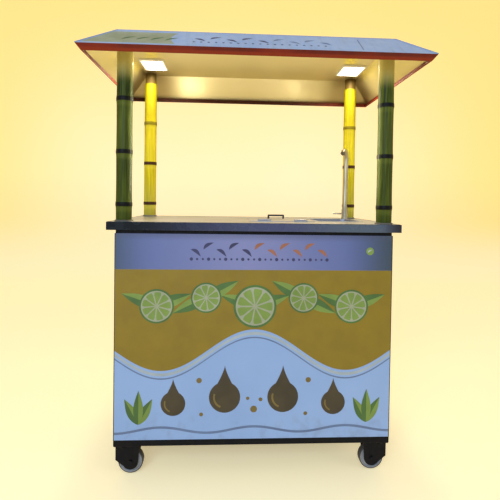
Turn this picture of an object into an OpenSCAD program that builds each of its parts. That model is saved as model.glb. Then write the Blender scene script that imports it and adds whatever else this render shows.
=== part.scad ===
// Mobile sugarcane juice cart: a steel cabinet on casters that houses an electric
// three-roller cane mill, under a steel worktop with hatch, sink and swan-neck tap.
// Four cane-look posts carry a hipped canopy with two lamps.
// Millimetres, X to the customer's right, Y from customer to operator, Z up.
// The origin is on the floor at the middle of the cart.

/* [Worktop] */
// Width of the worktop
counter_w = 1200; // [1160:10:1300]
// Depth of the worktop from customer to operator
counter_d = 650; // [630:10:760]
// Height of the worktop above the floor
counter_z = 1042; // [1020:2:1080]
// Height of the dark edge band
edge_h = 33; // [24:1:40]
// Thickness of the edge band
edge_t = 3; // [2:0.5:5]
// Thickness of the worktop sheet
sheet_t = 1.5; // [1:0.25:2.5]
// Overhang of the worktop past each cabinet side
side_over = 30; // [20:1:40]
// Overhang of the worktop past the cabinet front and back
front_over = 17; // [12:1:25]

/* [Cabinet] */
// Side of the square frame tube
tube = 25; // [20:1:30]
// Wall of the frame tube
tube_wall = 1.5; // [1:0.25:3]
// Height of the top rail under the worktop
rail_h = 50; // [48:1:60]
// Strip of top rail that shows under the edge band
rail_show = 14; // [6:1:15]
// Thickness of the cabinet panels and doors
panel_t = 3; // [2:0.5:4]
// Thickness of the floor sheet
floor_t = 2; // [1:0.5:4]
// Height of the mill bearers' top face
bearer_z = 660; // [650:2:680]
// Distance from the mill's middle to each bearer
bearer_y = 105; // [95:1:115]

/* [Casters] */
// Overall height of a caster
caster_h = 127; // [125:1:135]
// Diameter of a wheel
wheel_d = 102; // [94:1:106]
// Width of a wheel
wheel_w = 30; // [24:1:36]
// Side of the top plate
plate_w = 76; // [70:1:80]
// Distance of the swivel axis from the cabinet's outer faces
caster_inset = 40; // [38:1:60]
// Trail of the wheel behind the swivel axis
trail = 25; // [20:1:35]

/* [Posts] */
// Outside diameter of the cane-look sleeve
sleeve_d = 64; // [60:1:70]
// Wall of the sleeve
sleeve_wall = 3; // [2:0.5:5]
// Distance of a post's axis from the worktop's edges
post_inset = 56; // [50:1:64]
// Height of the sleeve above the worktop
sleeve_h = 710; // [650:5:720]
// Height of the first cane ring above the worktop
ring_first = 70; // [40:5:100]
// Distance between cane rings
ring_pitch = 214; // [180:2:240]
// Height of a cane ring
ring_h = 14; // [6:1:14]
// How far a ring stands proud of the sleeve
ring_proud = 1.5; // [0.5:0.25:3]

/* [Canopy] */
// Overhang of the eave past the worktop on every side
eave_over = 92.5; // [70:2.5:120]
// Height of the eave's lower edge above the floor
eave_z = 1690; // [1660:2:1720]
// Height of the slanted eave trim
trim_h = 22; // [16:1:28]
// How far the trim slants inward
trim_in = 17; // [10:1:24]
// Horizontal run of the roof slopes
hip_run = 124; // [110:1:135]
// Rise of the roof slopes
hip_rise = 101; // [90:1:115]
// Thickness of the roof skin, measured vertically
roof_t = 3.5; // [2:0.5:5]
// Thickness of the ceiling lining, measured vertically
lining_t = 3; // [2:0.5:4]
// Width of a lamp
lamp_w = 116; // [90:2:118]
// Length of a lamp from customer to operator
lamp_d = 150; // [100:2:160]
// Height of a lamp
lamp_h = 8; // [8:1:18]

/* [Mill] */
// Distance of the mill's middle from the worktop's right end
mill_x = 475; // [465:1:485]
// Height of the top roller's axis above the bearers
roller_rise = 155; // [152:1:160]
// Diameter of a roller
roller_d = 92; // [88:1:94]
// Gap between the top roller and each lower roller
roller_gap = 3; // [2:0.25:4]
// Length of a roller's working face
roller_len = 146; // [130:1:150]
// Diameter of a roller shaft
shaft_d = 30; // [26:1:34]
// Thickness of a mill side plate
mill_plate_t = 12; // [8:1:16]
// Face width of the gears
gear_w = 20; // [14:1:22]
// Teeth on each roller gear
gear_teeth = 19; // [17:1:21]
// Teeth on the drive pinion
pinion_teeth = 17; // [16:1:19]

/* [Hatch, sink and tap] */
// Width of the hatch opening
hatch_w = 270; // [240:5:280]
// Length of the hatch opening from customer to operator
hatch_d = 290; // [250:5:310]
// Width of the sink bowl
sink_w = 210; // [190:5:215]
// Length of the sink bowl from customer to operator
sink_d = 240; // [220:5:260]
// Depth of the sink bowl
sink_deep = 150; // [110:5:170]
// Distance of the tap from the worktop's right end
tap_x = 100; // [95:1:120]
// Distance of the tap behind the sink bowl
tap_behind = 34; // [32:1:44]
// Height of the tap's bend above the worktop
tap_h = 310; // [280:5:400]
// Outside diameter of the tap's neck
neck_d = 23; // [18:1:26]
// Radius of the tap's bend
neck_bend = 40; // [32:1:55]

/* [Hidden] */
$fn = 64;

// Clearances: cut overrun, welds, seated faces, running fits, pressed fits and door gaps
cut = 1;
weld_gap = 0.2;
seat_gap = 0.2;
run_gap = 0.05;
press_gap = 0.05;
door_gap = 1.5;
face_gap = 0.3;

// Cabinet faces and levels
cab_x = counter_w / 2 - side_over;
cab_y = counter_d / 2 - front_over;
frame_x = cab_x - panel_t;
frame_y = cab_y - panel_t;
base_top = caster_h + tube;
floor_top = base_top + floor_t;
rail_top = counter_z - sheet_t;
rail_bottom = rail_top - rail_h;
panel_top = counter_z - edge_h - rail_show;
door_y = frame_y + face_gap;
door_face = door_y + panel_t;
tube_mid = tube / 2;
vent_d = 6;

// Mill layout in the plane across the rollers: [y, z]
centre_dist = roller_d + roller_gap;
gear_module = centre_dist / gear_teeth;
feed_angle = -65;
discharge_angle = -135;
pinion_angle = 155;
function polar(r, a) = [r * cos(a), r * sin(a)];
top_at = [0, bearer_z + roller_rise];
feed_at = top_at + polar(centre_dist, feed_angle);
discharge_at = top_at + polar(centre_dist, discharge_angle);
roller_spots = [top_at, feed_at, discharge_at];
pinion_at = top_at + polar(gear_module * (gear_teeth + pinion_teeth) / 2, pinion_angle);
roller_play = 4;
plate_in = roller_len / 2 + roller_play;
plate_out = plate_in + mill_plate_t;
gear_gap = 4;
gear_in = -plate_out - gear_gap;
gear_out = gear_in - gear_w;
gear_addendum_share = 0.9;
gear_dedendum_share = 1.2;
gear_backlash = 0.3;
pressure_angle = 20;
flank_steps = 5;

// Bagasse bin, its mullions and the bays beside them
bin_w = 200;
bin_play = 4;
bin_wall = 1.5;
bin_h = 425;
bin_front_gap = 10;
mill_mid = counter_w / 2 - mill_x;
mullion_off = bin_w / 2 + bin_play + tube_mid;
mullion_left = mill_mid - mullion_off;
mullion_right = mill_mid + mullion_off;
bay_right = mullion_right + tube_mid;
lower_top = bearer_z - tube_mid;

// Hatch, sink, drain and cans
hatch_y = -15;
hatch_lap = 10;
hatch_t = 2;
hatch_rim = 12;
hatch_rim_gap = 3;
hatch_front = hatch_y - hatch_d / 2 - hatch_lap;
hatch_back = hatch_y + hatch_d / 2 + hatch_lap;
hatch_z = counter_z + seat_gap;
sink_side = 198;
sink_x = counter_w / 2 - sink_side;
sink_y = 25;
sink_r = 40;
sink_wall = 1.2;
sink_lip = 10;
drain_left = 60;
drain_front = 80;
drain_x = sink_x - drain_left;
drain_y = sink_y - drain_front;
tap_mid = counter_w / 2 - tap_x;
tap_y = sink_y + sink_d / 2 + tap_behind;
can_w = 122;
can_d = 260;
can_h = 320;
can_r = 18;
can_gap = 8;
can_neck_d = 56;
can_neck_h = 22;
can_wall_gap = 10;
waste_x = bay_right + can_gap + can_w / 2;
fresh_x = waste_x + can_w + can_gap;
can_y = -frame_y + tube + can_wall_gap + can_d / 2;
can_top = floor_top + can_h + can_neck_h;

// Hinges
knuckle_r = 4.5;
hinge_pin_r = 2.5;
hinge_h = 60;
leaf_w = 18;
leaf_t = 2;

function mate_phase(dir, phase, teeth, mate_teeth) =
    dir + 180 - (phase - dir) * teeth / mate_teeth + 180 / mate_teeth;
top_phase = 0;
feed_phase = mate_phase(feed_angle, top_phase, gear_teeth, gear_teeth);
discharge_phase = mate_phase(discharge_angle, top_phase, gear_teeth, gear_teeth);
pinion_phase = mate_phase(pinion_angle, top_phase, gear_teeth, pinion_teeth);

// Shared shapes

// Square tube with closed ends and a vent hole in its lower face
module capped_tube(size) {
    difference() {
        cube(size, center = true);
        cube([for (s = size) s - 2 * tube_wall], center = true);
        translate([0, 0, -size.z / 2]) cylinder(d = vent_d, h = 3 * tube_wall, center = true);
    }
}

// Tube laid along X, Y or Z between two values, with its middle at the other two
module tube_x(x0, x1, y, z, h = tube) {
    translate([(x0 + x1) / 2, y, z]) capped_tube([x1 - x0 - 2 * weld_gap, tube, h]);
}
module tube_y(y0, y1, x, z, h = tube) {
    translate([x, (y0 + y1) / 2, z]) capped_tube([tube, y1 - y0 - 2 * weld_gap, h]);
}
module tube_z(z0, z1, x, y) {
    translate([x, y, (z0 + z1) / 2]) capped_tube([tube, tube, z1 - z0 - 2 * weld_gap]);
}

// Flat block given by its two corners
module block(low, high) {
    translate(low) cube(high - low);
}

// Rectangle with round corners, about its middle
module round_rect(w, d, r) {
    square([w - 2 * r, d], center = true);
    square([w, d - 2 * r], center = true);
    for (sx = [-1, 1], sy = [-1, 1]) {
        translate([sx * (w / 2 - r), sy * (d / 2 - r)]) circle(r = r);
    }
}

// Block with four sloping sides: lower size, upper size and two heights
module hip_block(w0, d0, w1, d1, z0, z1) {
    far = (w0 + w1 + d0 + d1) / 2;
    intersection() {
        rotate([90, 0, 0]) linear_extrude(far, center = true)
            polygon([[-w0 / 2, z0], [w0 / 2, z0], [w1 / 2, z1], [-w1 / 2, z1]]);
        rotate([90, 0, 90]) linear_extrude(far, center = true)
            polygon([[-d0 / 2, z0], [d0 / 2, z0], [d1 / 2, z1], [-d1 / 2, z1]]);
    }
}

// Disc or bar turned about an axis along X, between two X values, at [y, z]
module turned_x(x0, x1, at, d) {
    translate([x0, at[0], at[1]]) rotate([0, 90, 0]) cylinder(d = d, h = x1 - x0);
}

// Bow handle: two legs and a round grip along X, standing up from Z = 0
module bow_handle(span, reach, d) {
    for (s = [-1, 1]) {
        translate([s * span / 2, 0, 0]) cylinder(d = d, h = reach);
        translate([s * span / 2, 0, reach]) sphere(d = d);
    }
    translate([-span / 2, 0, reach]) rotate([0, 90, 0]) cylinder(d = d, h = span);
}

// Hinge about Z: fixed leaf on -X with outer knuckles and the pin
module hinge_fixed(seat) {
    third = hinge_h / 3;
    for (s = [-1, 1]) {
        translate([0, 0, s * third]) cylinder(r = knuckle_r, h = third - 2 * face_gap, center = true);
    }
    cylinder(r = hinge_pin_r, h = hinge_h - 2 * face_gap, center = true);
    difference() {
        block([-leaf_w, -knuckle_r - seat, -hinge_h / 2 + face_gap],
            [0, -knuckle_r + leaf_t, hinge_h / 2 - face_gap]);
        cylinder(r = knuckle_r + face_gap, h = third, center = true);
        translate([0, -knuckle_r, 0])
            cube([2 * (knuckle_r + face_gap), 2 * (seat + leaf_t) + cut, third], center = true);
    }
}

// The hinge's moving leaf on +X with the middle knuckle, raised off its seat
module hinge_moving(seat) {
    third = hinge_h / 3;
    difference() {
        union() {
            cylinder(r = knuckle_r, h = third - 2 * face_gap, center = true);
            block([0, -knuckle_r - seat, -third / 2 + face_gap],
                [leaf_w, -knuckle_r + leaf_t, third / 2 - face_gap]);
        }
        cylinder(r = hinge_pin_r + run_gap, h = hinge_h, center = true);
    }
}

// Outline of a spur gear with involute flanks
function roll_at(r, rb) = r > rb ? sqrt(pow(r / rb, 2) - 1) * 180 / PI : 0;
function involute(t) = t - atan(t * PI / 180);
module gear_outline(teeth, phase) {
    rp = gear_module * teeth / 2;
    rb = rp * cos(pressure_angle);
    ra = rp + gear_addendum_share * gear_module;
    rr = rp - gear_dedendum_share * gear_module;
    half_tooth = 90 / teeth - gear_backlash / 2 / rp * 180 / PI;
    base_half = half_tooth + involute(roll_at(rp, rb));
    flank = [for (i = [0:flank_steps]) let (t = roll_at(ra, rb) * i / flank_steps)
        [rb * sqrt(1 + pow(t * PI / 180, 2)), base_half - involute(t)]];
    tooth = concat(
        [[rr, -base_half]], [for (p = flank) [p[0], -p[1]]],
        [for (i = [flank_steps:-1:0]) flank[i]], [[rr, base_half]]);
    polygon([for (k = [0:teeth - 1], p = tooth) polar(p[0], p[1] + phase + k * 360 / teeth)]);
}

module spur_gear(teeth, phase, at, bore) {
    translate([mill_mid + gear_out, at[0], at[1]]) rotate([90, 0, 90]) difference() {
        linear_extrude(gear_w) gear_outline(teeth, phase);
        translate([0, 0, -cut]) cylinder(d = bore, h = gear_w + 2 * cut);
    }
}

// Base frame and cabinet

module base_frame() {
    z = caster_h + tube_mid;
    color([0.05, 0.05, 0.06]) {
        for (s = [-1, 1]) {
            tube_x(-cab_x, cab_x, s * (cab_y - tube_mid), z);
            tube_y(-cab_y + tube, cab_y - tube, s * (cab_x - tube_mid), z);
            tube_y(-cab_y + tube, cab_y - tube, s * cab_x / 3, z);
        }
    }
}

module cabinet_frame() {
    ux = frame_x - tube_mid;
    uy = frame_y - tube_mid;
    mid = bearer_z - tube_mid;
    rail = (rail_top + rail_bottom) / 2;
    color([0.08, 0.08, 0.1]) {
        for (sx = [-1, 1], sy = [-1, 1]) tube_z(floor_top, rail_bottom, sx * ux, sy * uy);
        for (s = [-1, 1]) {
            tube_x(-frame_x, frame_x, s * uy, rail, rail_h);
            tube_y(-frame_y + tube, frame_y - tube, s * ux, rail, rail_h);
            tube_x(-frame_x + tube, frame_x - tube, s * uy, mid);
            tube_y(-frame_y + tube, frame_y - tube, s * ux, mid);
            tube_x(-frame_x + tube, frame_x - tube, s * bearer_y, mid);
        }
        for (x = [mullion_left, mullion_right]) tube_z(floor_top, bearer_z - tube, x, uy);
    }
}

module floor_shelf() {
    color([0.75, 0.76, 0.78]) block([-frame_x, -frame_y, base_top], [frame_x, frame_y, floor_top]);
}

module front_panel() {
    color([0.8, 0.8, 0.9]) block([-cab_x, -cab_y, base_top], [cab_x, -frame_y, panel_top]);
}

module side_panels() {
    color([0.8, 0.8, 0.9]) for (s = [-1, 1]) {
        translate([s * (frame_x + panel_t / 2), 0, (base_top + panel_top) / 2])
            cube([panel_t, 2 * frame_y, panel_top - base_top], center = true);
    }
}

// Controls on the rear fascia
knob_side = 240;
stop_side = 170;
knob_x = knob_side - cab_x;
stop_x = stop_side - cab_x;
control_z = 880;
knob_d = 42;
knob_h = 14;
knob_grip_h = 14;
knob_shaft_d = 8;
stop_d = 40;
stop_cap_h = 12;
stop_stem_d = 14;
stop_travel = 5;
stem_len = 22;
inlet_side = 75;
inlet_x = inlet_side - cab_x;
inlet_z = 760;
inlet_w = 30;
inlet_h = 46;
inlet_flange = 10;
inlet_flange_t = 3;
inlet_depth = 34;
box_w = 190;
box_h = 130;
box_d = 80;
box_wall = 2;

// Feed chute: a square duct along the tangent between the top and feed rollers
nip_at = (top_at + feed_at) / 2;
feed_slope = 90 + feed_angle;
chute_h = 64;
chute_w = roller_len - 2 * roller_play;
chute_wall = 1.5;
chute_start = 54;
chute_lip = 14;
chute_flange = 16;
chute_run = (frame_y + chute_lip) / cos(feed_slope) + chute_h;
mouth_z = nip_at[1] + (frame_y - nip_at[0]) * tan(feed_slope);
mouth_h = chute_h / cos(feed_slope);

module chute_frame() {
    translate([mill_mid, nip_at[0], nip_at[1]]) rotate([feed_slope, 0, 0]) children();
}

module rear_panel() {
    color([0.8, 0.8, 0.9]) difference() {
        block([-cab_x, frame_y, lower_top + door_gap], [cab_x, cab_y, panel_top]);
        chute_frame() translate([0, chute_run / 2, 0])
            cube([chute_w + 2 * seat_gap, 2 * chute_run, chute_h + 2 * seat_gap], center = true);
        for (c = [[knob_x, knob_shaft_d], [stop_x, stop_stem_d]]) {
            translate([c[0], frame_y - cut, control_z]) rotate([-90, 0, 0])
                cylinder(d = c[1] + 2 * run_gap, h = panel_t + 2 * cut);
        }
        translate([inlet_x, frame_y + panel_t / 2, inlet_z])
            cube([inlet_w + 2 * seat_gap, panel_t + 2 * cut, inlet_h + 2 * seat_gap], center = true);
    }
}

// Doors: the hinge axis stands just outside the upright
hinge_y = door_face + face_gap + knuckle_r;
hinge_x = frame_x - tube;
door_low = base_top + door_gap;
door_high = lower_top - door_gap;
hinge_share = 0.14;
hinge_zs = [for (s = [hinge_share, 1 - hinge_share]) door_low + (door_high - door_low) * s];

module door(side, x_free) {
    x_hinge = side * (hinge_x - face_gap);
    color([0.8, 0.8, 0.9]) {
        block([min(x_hinge, x_free), door_y, door_low], [max(x_hinge, x_free), door_face, door_high]);
        for (z = hinge_zs) translate([side * hinge_x, hinge_y, z])
            mirror([side > 0 ? 1 : 0, 0, 0]) hinge_moving(face_gap);
    }
}
module door_left() {
    door(-1, mullion_left - door_gap);
}
module door_right() {
    door(1, mullion_right + door_gap);
}

pull_span = 110;
pull_reach = 28;
pull_d = 10;
pull_in = 35;
pull_z = (door_low + door_high) / 2 + pull_span;
module door_pull(x) {
    color([0.75, 0.75, 0.78]) translate([x, door_face, pull_z]) rotate([0, 90, 0]) rotate([-90, 0, 0])
        bow_handle(pull_span, pull_reach, pull_d);
}
module door_pull_left() {
    door_pull(mullion_left - door_gap - pull_in);
}
module door_pull_right() {
    door_pull(mullion_right + door_gap + pull_in);
}

// Hatch hinges lie along X in front of the hatch
hatch_hinge_share = 0.3;
hatch_axis_z = hatch_z + hatch_t + face_gap + knuckle_r;
hatch_axis_y = hatch_front - face_gap;
hatch_hinge_xs = [for (s = [-1, 1]) mill_mid + s * hatch_hinge_share * hatch_w];
module lay_hinge(x) {
    translate([x, hatch_axis_y, hatch_axis_z]) rotate([90, 0, 90]) children();
}

module butt_hinges() {
    color([0.7, 0.7, 0.72]) {
        for (side = [-1, 1], z = hinge_zs) translate([side * hinge_x, hinge_y, z])
            mirror([side > 0 ? 1 : 0, 0, 0]) hinge_fixed(hinge_y - knuckle_r - frame_y);
        for (x = hatch_hinge_xs) lay_hinge(x) hinge_fixed(hatch_axis_z - knuckle_r - counter_z);
    }
}

// Worktop

post_xs = [for (s = [-1, 1]) s * (counter_w / 2 - post_inset)];
post_ys = [for (s = [-1, 1]) s * (counter_d / 2 - post_inset)];
core_d = sleeve_d - 2 * sleeve_wall - 2 * seat_gap;
core_wall = 2.5;
tap_hole_d = 26;
edge_in = edge_t + seat_gap;

module at_posts(ys) {
    for (x = post_xs, y = ys) translate([x, y, 0]) children();
}

module countertop() {
    color([0.78, 0.8, 0.82]) difference() {
        translate([0, 0, counter_z - sheet_t / 2])
            cube([counter_w - 2 * edge_in, counter_d - 2 * edge_in, sheet_t], center = true);
        translate([mill_mid, hatch_y, counter_z]) cube([hatch_w, hatch_d, 4 * sheet_t], center = true);
        translate([sink_x, sink_y, counter_z - 2 * sheet_t]) linear_extrude(4 * sheet_t)
            round_rect(sink_w + 2 * seat_gap, sink_d + 2 * seat_gap, sink_r);
        translate([tap_mid, tap_y, counter_z])
            cylinder(d = tap_hole_d + 2 * seat_gap, h = 4 * sheet_t, center = true);
        translate([0, 0, counter_z]) at_posts(post_ys)
            cylinder(d = core_d + 2 * seat_gap, h = 4 * sheet_t, center = true);
    }
}

module counter_edge() {
    z0 = counter_z - edge_h;
    color([0.1, 0.11, 0.14]) translate([0, 0, z0]) difference() {
        block([-counter_w / 2, -counter_d / 2, 0], [counter_w / 2, counter_d / 2, edge_h]);
        block([-counter_w / 2 + edge_t, -counter_d / 2 + edge_t, edge_t],
            [counter_w / 2 - edge_t, counter_d / 2 - edge_t, edge_h + cut]);
        block([-frame_x - seat_gap, -frame_y - seat_gap, -cut],
            [frame_x + seat_gap, frame_y + seat_gap, edge_h]);
    }
}

module hatch_lid() {
    w = hatch_w + 2 * hatch_lap;
    rim_w = hatch_w - 2 * hatch_rim_gap;
    rim_d = hatch_d - 2 * hatch_rim_gap;
    color([0.78, 0.8, 0.82]) {
        block([mill_mid - w / 2, hatch_front, hatch_z], [mill_mid + w / 2, hatch_back, hatch_z + hatch_t]);
        translate([mill_mid, hatch_y, hatch_z - hatch_rim / 2 + sheet_t / 2]) difference() {
            cube([rim_w, rim_d, hatch_rim + sheet_t], center = true);
            cube([rim_w - 2 * hatch_t, rim_d - 2 * hatch_t, hatch_rim + 4 * sheet_t], center = true);
        }
        for (x = hatch_hinge_xs) lay_hinge(x) hinge_moving(face_gap);
    }
}

grip_span = 76;
grip_reach = 16;
grip_d = 9;
grip_in = 32;
module hatch_handle() {
    color([0.12, 0.1, 0.1]) translate([mill_mid, hatch_back - grip_in, hatch_z + hatch_t])
        bow_handle(grip_span, grip_reach, grip_d);
}

// Sink, drain and cans
drain_hole_d = 46;
drain_flange_d = 66;
drain_flange_t = 3;
drain_pipe_d = 40;
drain_wall = 2;
grate_t = 2;
grate_hole_d = 6;
grate_ring_d = 22;
grate_holes = 6;
sink_bottom = counter_z + seat_gap - sink_deep;

module sink_bowl() {
    z = counter_z + seat_gap;
    color([0.8, 0.81, 0.83]) translate([sink_x, sink_y, 0]) difference() {
        union() {
            translate([0, 0, sink_bottom]) linear_extrude(sink_deep + sink_wall)
                round_rect(sink_w, sink_d, sink_r);
            translate([0, 0, z]) linear_extrude(sink_wall)
                round_rect(sink_w + 2 * sink_lip, sink_d + 2 * sink_lip, sink_r + sink_lip);
        }
        translate([0, 0, sink_bottom + sink_wall]) linear_extrude(sink_deep + cut)
            round_rect(sink_w - 2 * sink_wall, sink_d - 2 * sink_wall, sink_r - sink_wall);
        translate([drain_x - sink_x, drain_y - sink_y, sink_bottom - cut])
            cylinder(d = drain_hole_d, h = sink_wall + 2 * cut);
    }
}

module sink_drain() {
    z = sink_bottom + sink_wall;
    color([0.6, 0.6, 0.62]) translate([drain_x, drain_y, 0]) difference() {
        union() {
            translate([0, 0, z]) cylinder(d = drain_flange_d, h = drain_flange_t);
            translate([0, 0, can_top]) cylinder(d = drain_pipe_d, h = z + cut - can_top);
        }
        translate([0, 0, can_top + drain_wall])
            cylinder(d = drain_pipe_d - 2 * drain_wall, h = z - can_top - drain_wall);
        for (k = [0:grate_holes]) {
            rotate([0, 0, k * 360 / grate_holes]) translate([k == 0 ? 0 : grate_ring_d / 2, 0, z - grate_t])
                cylinder(d = grate_hole_d, h = drain_flange_t + grate_t + cut);
        }
    }
}

module water_can(x, mouth_x, mouth_y) {
    translate([x, can_y, floor_top]) linear_extrude(can_h) round_rect(can_w, can_d, can_r);
    translate([mouth_x, mouth_y, floor_top + can_h - cut]) cylinder(d = can_neck_d, h = can_neck_h + cut);
}
module water_cans() {
    color([0.85, 0.88, 0.9]) {
        water_can(waste_x, drain_x, drain_y);
        water_can(fresh_x, fresh_x, can_y);
    }
}

// Tap: base with supply pipe, swivelling neck and side lever
tap_flange_d = 40;
tap_flange_t = 6;
tap_body_d = 32;
tap_body_h = 46;
tap_spigot_d = 18;
tap_spigot_h = 16;
supply_d = 16;
elbow_d = 24;
supply_drop = 40;
supply_z = counter_z - sink_deep - supply_drop;
neck_lean = 4;
neck_turn = -118;
neck_sweep = 130;
nozzle_d = 27;
nozzle_h = 16;
nozzle_lap = 3;
neck_wall = 1.5;
lever_hub_d = 20;
lever_hub_h = 14;
lever_len = 52;
lever_d = 9;
lever_pin_d = 8;
lever_pin_h = 10;
lever_z = counter_z + tap_flange_t + tap_body_h / 2;
lever_y = tap_y + tap_body_d / 2 + face_gap;

module supply_run(from, to) {
    v = to - from;
    translate(from) rotate([0, acos(v.z / norm(v)), atan2(v.y, v.x)])
        cylinder(d = supply_d, h = norm(v));
}

module tap_base() {
    top = counter_z + tap_flange_t + tap_body_h;
    start = [tap_mid, tap_y, counter_z];
    knee = [tap_mid, tap_y, supply_z];
    bend = [fresh_x, can_y, supply_z];
    color([0.82, 0.83, 0.85]) {
        difference() {
            union() {
                translate([tap_mid, tap_y, counter_z]) cylinder(d = tap_flange_d, h = tap_flange_t);
                translate([tap_mid, tap_y, counter_z]) cylinder(d = tap_body_d, h = top - counter_z);
                translate([tap_mid, tap_y, counter_z - 2 * tap_flange_t])
                    cylinder(d = tap_hole_d, h = 3 * tap_flange_t);
            }
            translate([tap_mid, tap_y, top - tap_spigot_h])
                cylinder(d = tap_spigot_d + 2 * run_gap, h = tap_spigot_h + cut);
            translate([tap_mid, tap_y, lever_z]) rotate([-90, 0, 0])
                cylinder(d = lever_pin_d + 2 * run_gap, h = tap_body_d);
        }
        supply_run(knee, start);
        supply_run(knee, bend);
        translate(knee) sphere(d = elbow_d);
        translate(bend) sphere(d = elbow_d);
        supply_run([bend.x, bend.y, can_top], bend);
    }
}

module tap_neck() {
    z0 = counter_z + tap_flange_t + tap_body_h + face_gap;
    rise = counter_z + tap_h - z0;
    color([0.85, 0.86, 0.88]) translate([tap_mid, tap_y, z0]) rotate([0, 0, neck_turn]) {
        translate([0, 0, face_gap - tap_spigot_h]) cylinder(d = tap_spigot_d, h = tap_spigot_h);
        cylinder(d = nozzle_d, h = nozzle_h);
        translate([0, 0, nozzle_h / 2]) rotate([0, -neck_lean, 0]) {
            cylinder(d = neck_d, h = rise);
            translate([neck_bend, 0, rise]) {
                rotate([90, 0, 180]) rotate_extrude(angle = neck_sweep)
                    translate([neck_bend, 0]) circle(d = neck_d);
                rotate([0, neck_sweep, 0]) translate([-neck_bend, 0, -nozzle_lap]) difference() {
                    cylinder(d = nozzle_d, h = nozzle_h + nozzle_lap);
                    translate([0, 0, 2 * nozzle_lap]) cylinder(d = neck_d - 2 * neck_wall, h = nozzle_h);
                }
            }
        }
    }
}

module tap_lever() {
    color([0.85, 0.86, 0.88]) translate([tap_mid, lever_y, lever_z]) {
        rotate([-90, 0, 0]) cylinder(d = lever_hub_d, h = lever_hub_h);
        rotate([90, 0, 0]) cylinder(d = lever_pin_d, h = lever_pin_h);
        translate([0, lever_hub_h / 2, 0]) rotate([0, -90, 0]) cylinder(d = lever_d, h = lever_len);
        translate([-lever_len, lever_hub_h / 2, 0]) sphere(d = lever_d);
    }
}

// Posts

eave_w = counter_w + 2 * eave_over;
eave_d = counter_d + 2 * eave_over;
roof_low = eave_z + trim_h;
roof_top = roof_low + hip_rise;

// Hip volume of the roof, lowered by a vertical distance and open below
module hip_volume(drop) {
    hip_block(eave_w, eave_d, eave_w - 2 * hip_run, eave_d - 2 * hip_run,
        roof_low - drop, roof_top - drop);
}
lining_drop = roof_t + press_gap;
ceiling_drop = lining_drop + lining_t;
ceiling_z = roof_top - ceiling_drop;

module post_cores() {
    color([0.55, 0.45, 0.3]) intersection() {
        at_posts(post_ys) translate([0, 0, rail_top]) difference() {
            cylinder(d = core_d, h = roof_top - rail_top);
            translate([0, 0, -cut]) cylinder(d = core_d - 2 * core_wall, h = roof_top - rail_top + 2 * cut);
        }
        union() {
            hip_volume(ceiling_drop + press_gap);
            block([-eave_w / 2, -eave_d / 2, 0], [eave_w / 2, eave_d / 2, roof_low]);
        }
    }
}

ring_count = 3;
module sleeve() {
    difference() {
        union() {
            cylinder(d = sleeve_d, h = sleeve_h);
            for (k = [0:ring_count - 1]) translate([0, 0, ring_first + k * ring_pitch - ring_h / 2])
                cylinder(d = sleeve_d + 2 * ring_proud, h = ring_h);
        }
        translate([0, 0, -cut]) cylinder(d = core_d + 2 * seat_gap, h = sleeve_h + 2 * cut);
    }
}
module front_sleeves() {
    color([0.25, 0.35, 0.1]) translate([0, 0, counter_z]) at_posts([post_ys[0]]) sleeve();
}
module rear_sleeves() {
    color([0.9, 0.85, 0.1]) translate([0, 0, counter_z]) at_posts([post_ys[1]]) sleeve();
}

// Canopy

module roof_shell() {
    color([0.75, 0.78, 0.88]) difference() {
        hip_volume(0);
        hip_volume(roof_t);
    }
}

module ceiling_lining() {
    color([0.85, 0.72, 0.4]) difference() {
        intersection() {
            hip_volume(lining_drop);
            block([-eave_w / 2, -eave_d / 2, roof_low], [eave_w / 2, eave_d / 2, roof_top]);
        }
        hip_volume(ceiling_drop);
    }
}

trim_top_w = 12;
trim_low_w = 4;
module eave_trim() {
    low_w = eave_w - 2 * trim_in;
    low_d = eave_d - 2 * trim_in;
    color([0.5, 0.1, 0.06]) difference() {
        hip_block(low_w, low_d, eave_w, eave_d, eave_z, roof_low);
        hip_block(low_w - 2 * trim_low_w, low_d - 2 * trim_low_w,
            eave_w - 2 * trim_top_w, eave_d - 2 * trim_top_w, eave_z, roof_low);
    }
}

// Lamps under the flat of the ceiling
lamp_frame = 5;
lens_t = 3;
lamp_y = 100;
lamp_off_share = 0.62;
lamp_x = eave_w / 2 - hip_run - lamp_off_share * lamp_w;
module at_lamps() {
    for (s = [-1, 1]) translate([s * lamp_x, lamp_y, ceiling_z - press_gap - lamp_h]) children();
}
module lamp_housings() {
    color([0.9, 0.9, 0.9]) at_lamps() difference() {
        translate([0, 0, lamp_h / 2]) cube([lamp_w, lamp_d, lamp_h], center = true);
        cube([lamp_w - 2 * lamp_frame, lamp_d - 2 * lamp_frame, 2 * lens_t], center = true);
    }
}
module lamp_lenses() {
    in = lamp_frame + seat_gap;
    color([1, 0.98, 0.9]) at_lamps() translate([0, 0, lens_t / 2])
        cube([lamp_w - 2 * in, lamp_d - 2 * in, lens_t - 2 * press_gap], center = true);
}

// Casters

wheel_r = wheel_d / 2;
plate_t = 3.5;
race_h = 7;
race_d = 54;
swivel_gap = 0.4;
crown_t = 4;
crown_d = 60;
kingpin_d = 12;
kingpin_head_d = 20;
kingpin_head_h = 3;
leg_t = 3.5;
leg_gap = 3;
leg_r = 32;
leg_back = 35;
leg_front = 62;
leg_knee = 60;
toe_share = 0.65;
axle_d = 10;
axle_head_d = 17;
axle_head_h = 5;
tread_chamfer = 4;
hub_d = 34;
rim_d = 66;
rim_recess = 5;
crown_top = caster_h - plate_t - race_h;
caster_x = cab_x - caster_inset;
caster_y = cab_y - caster_inset;

module at_caster(sx, sy) {
    translate([sx * caster_x, sy * caster_y, 0]) rotate([0, 0, sx > 0 ? 180 : 0]) children();
}

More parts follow.
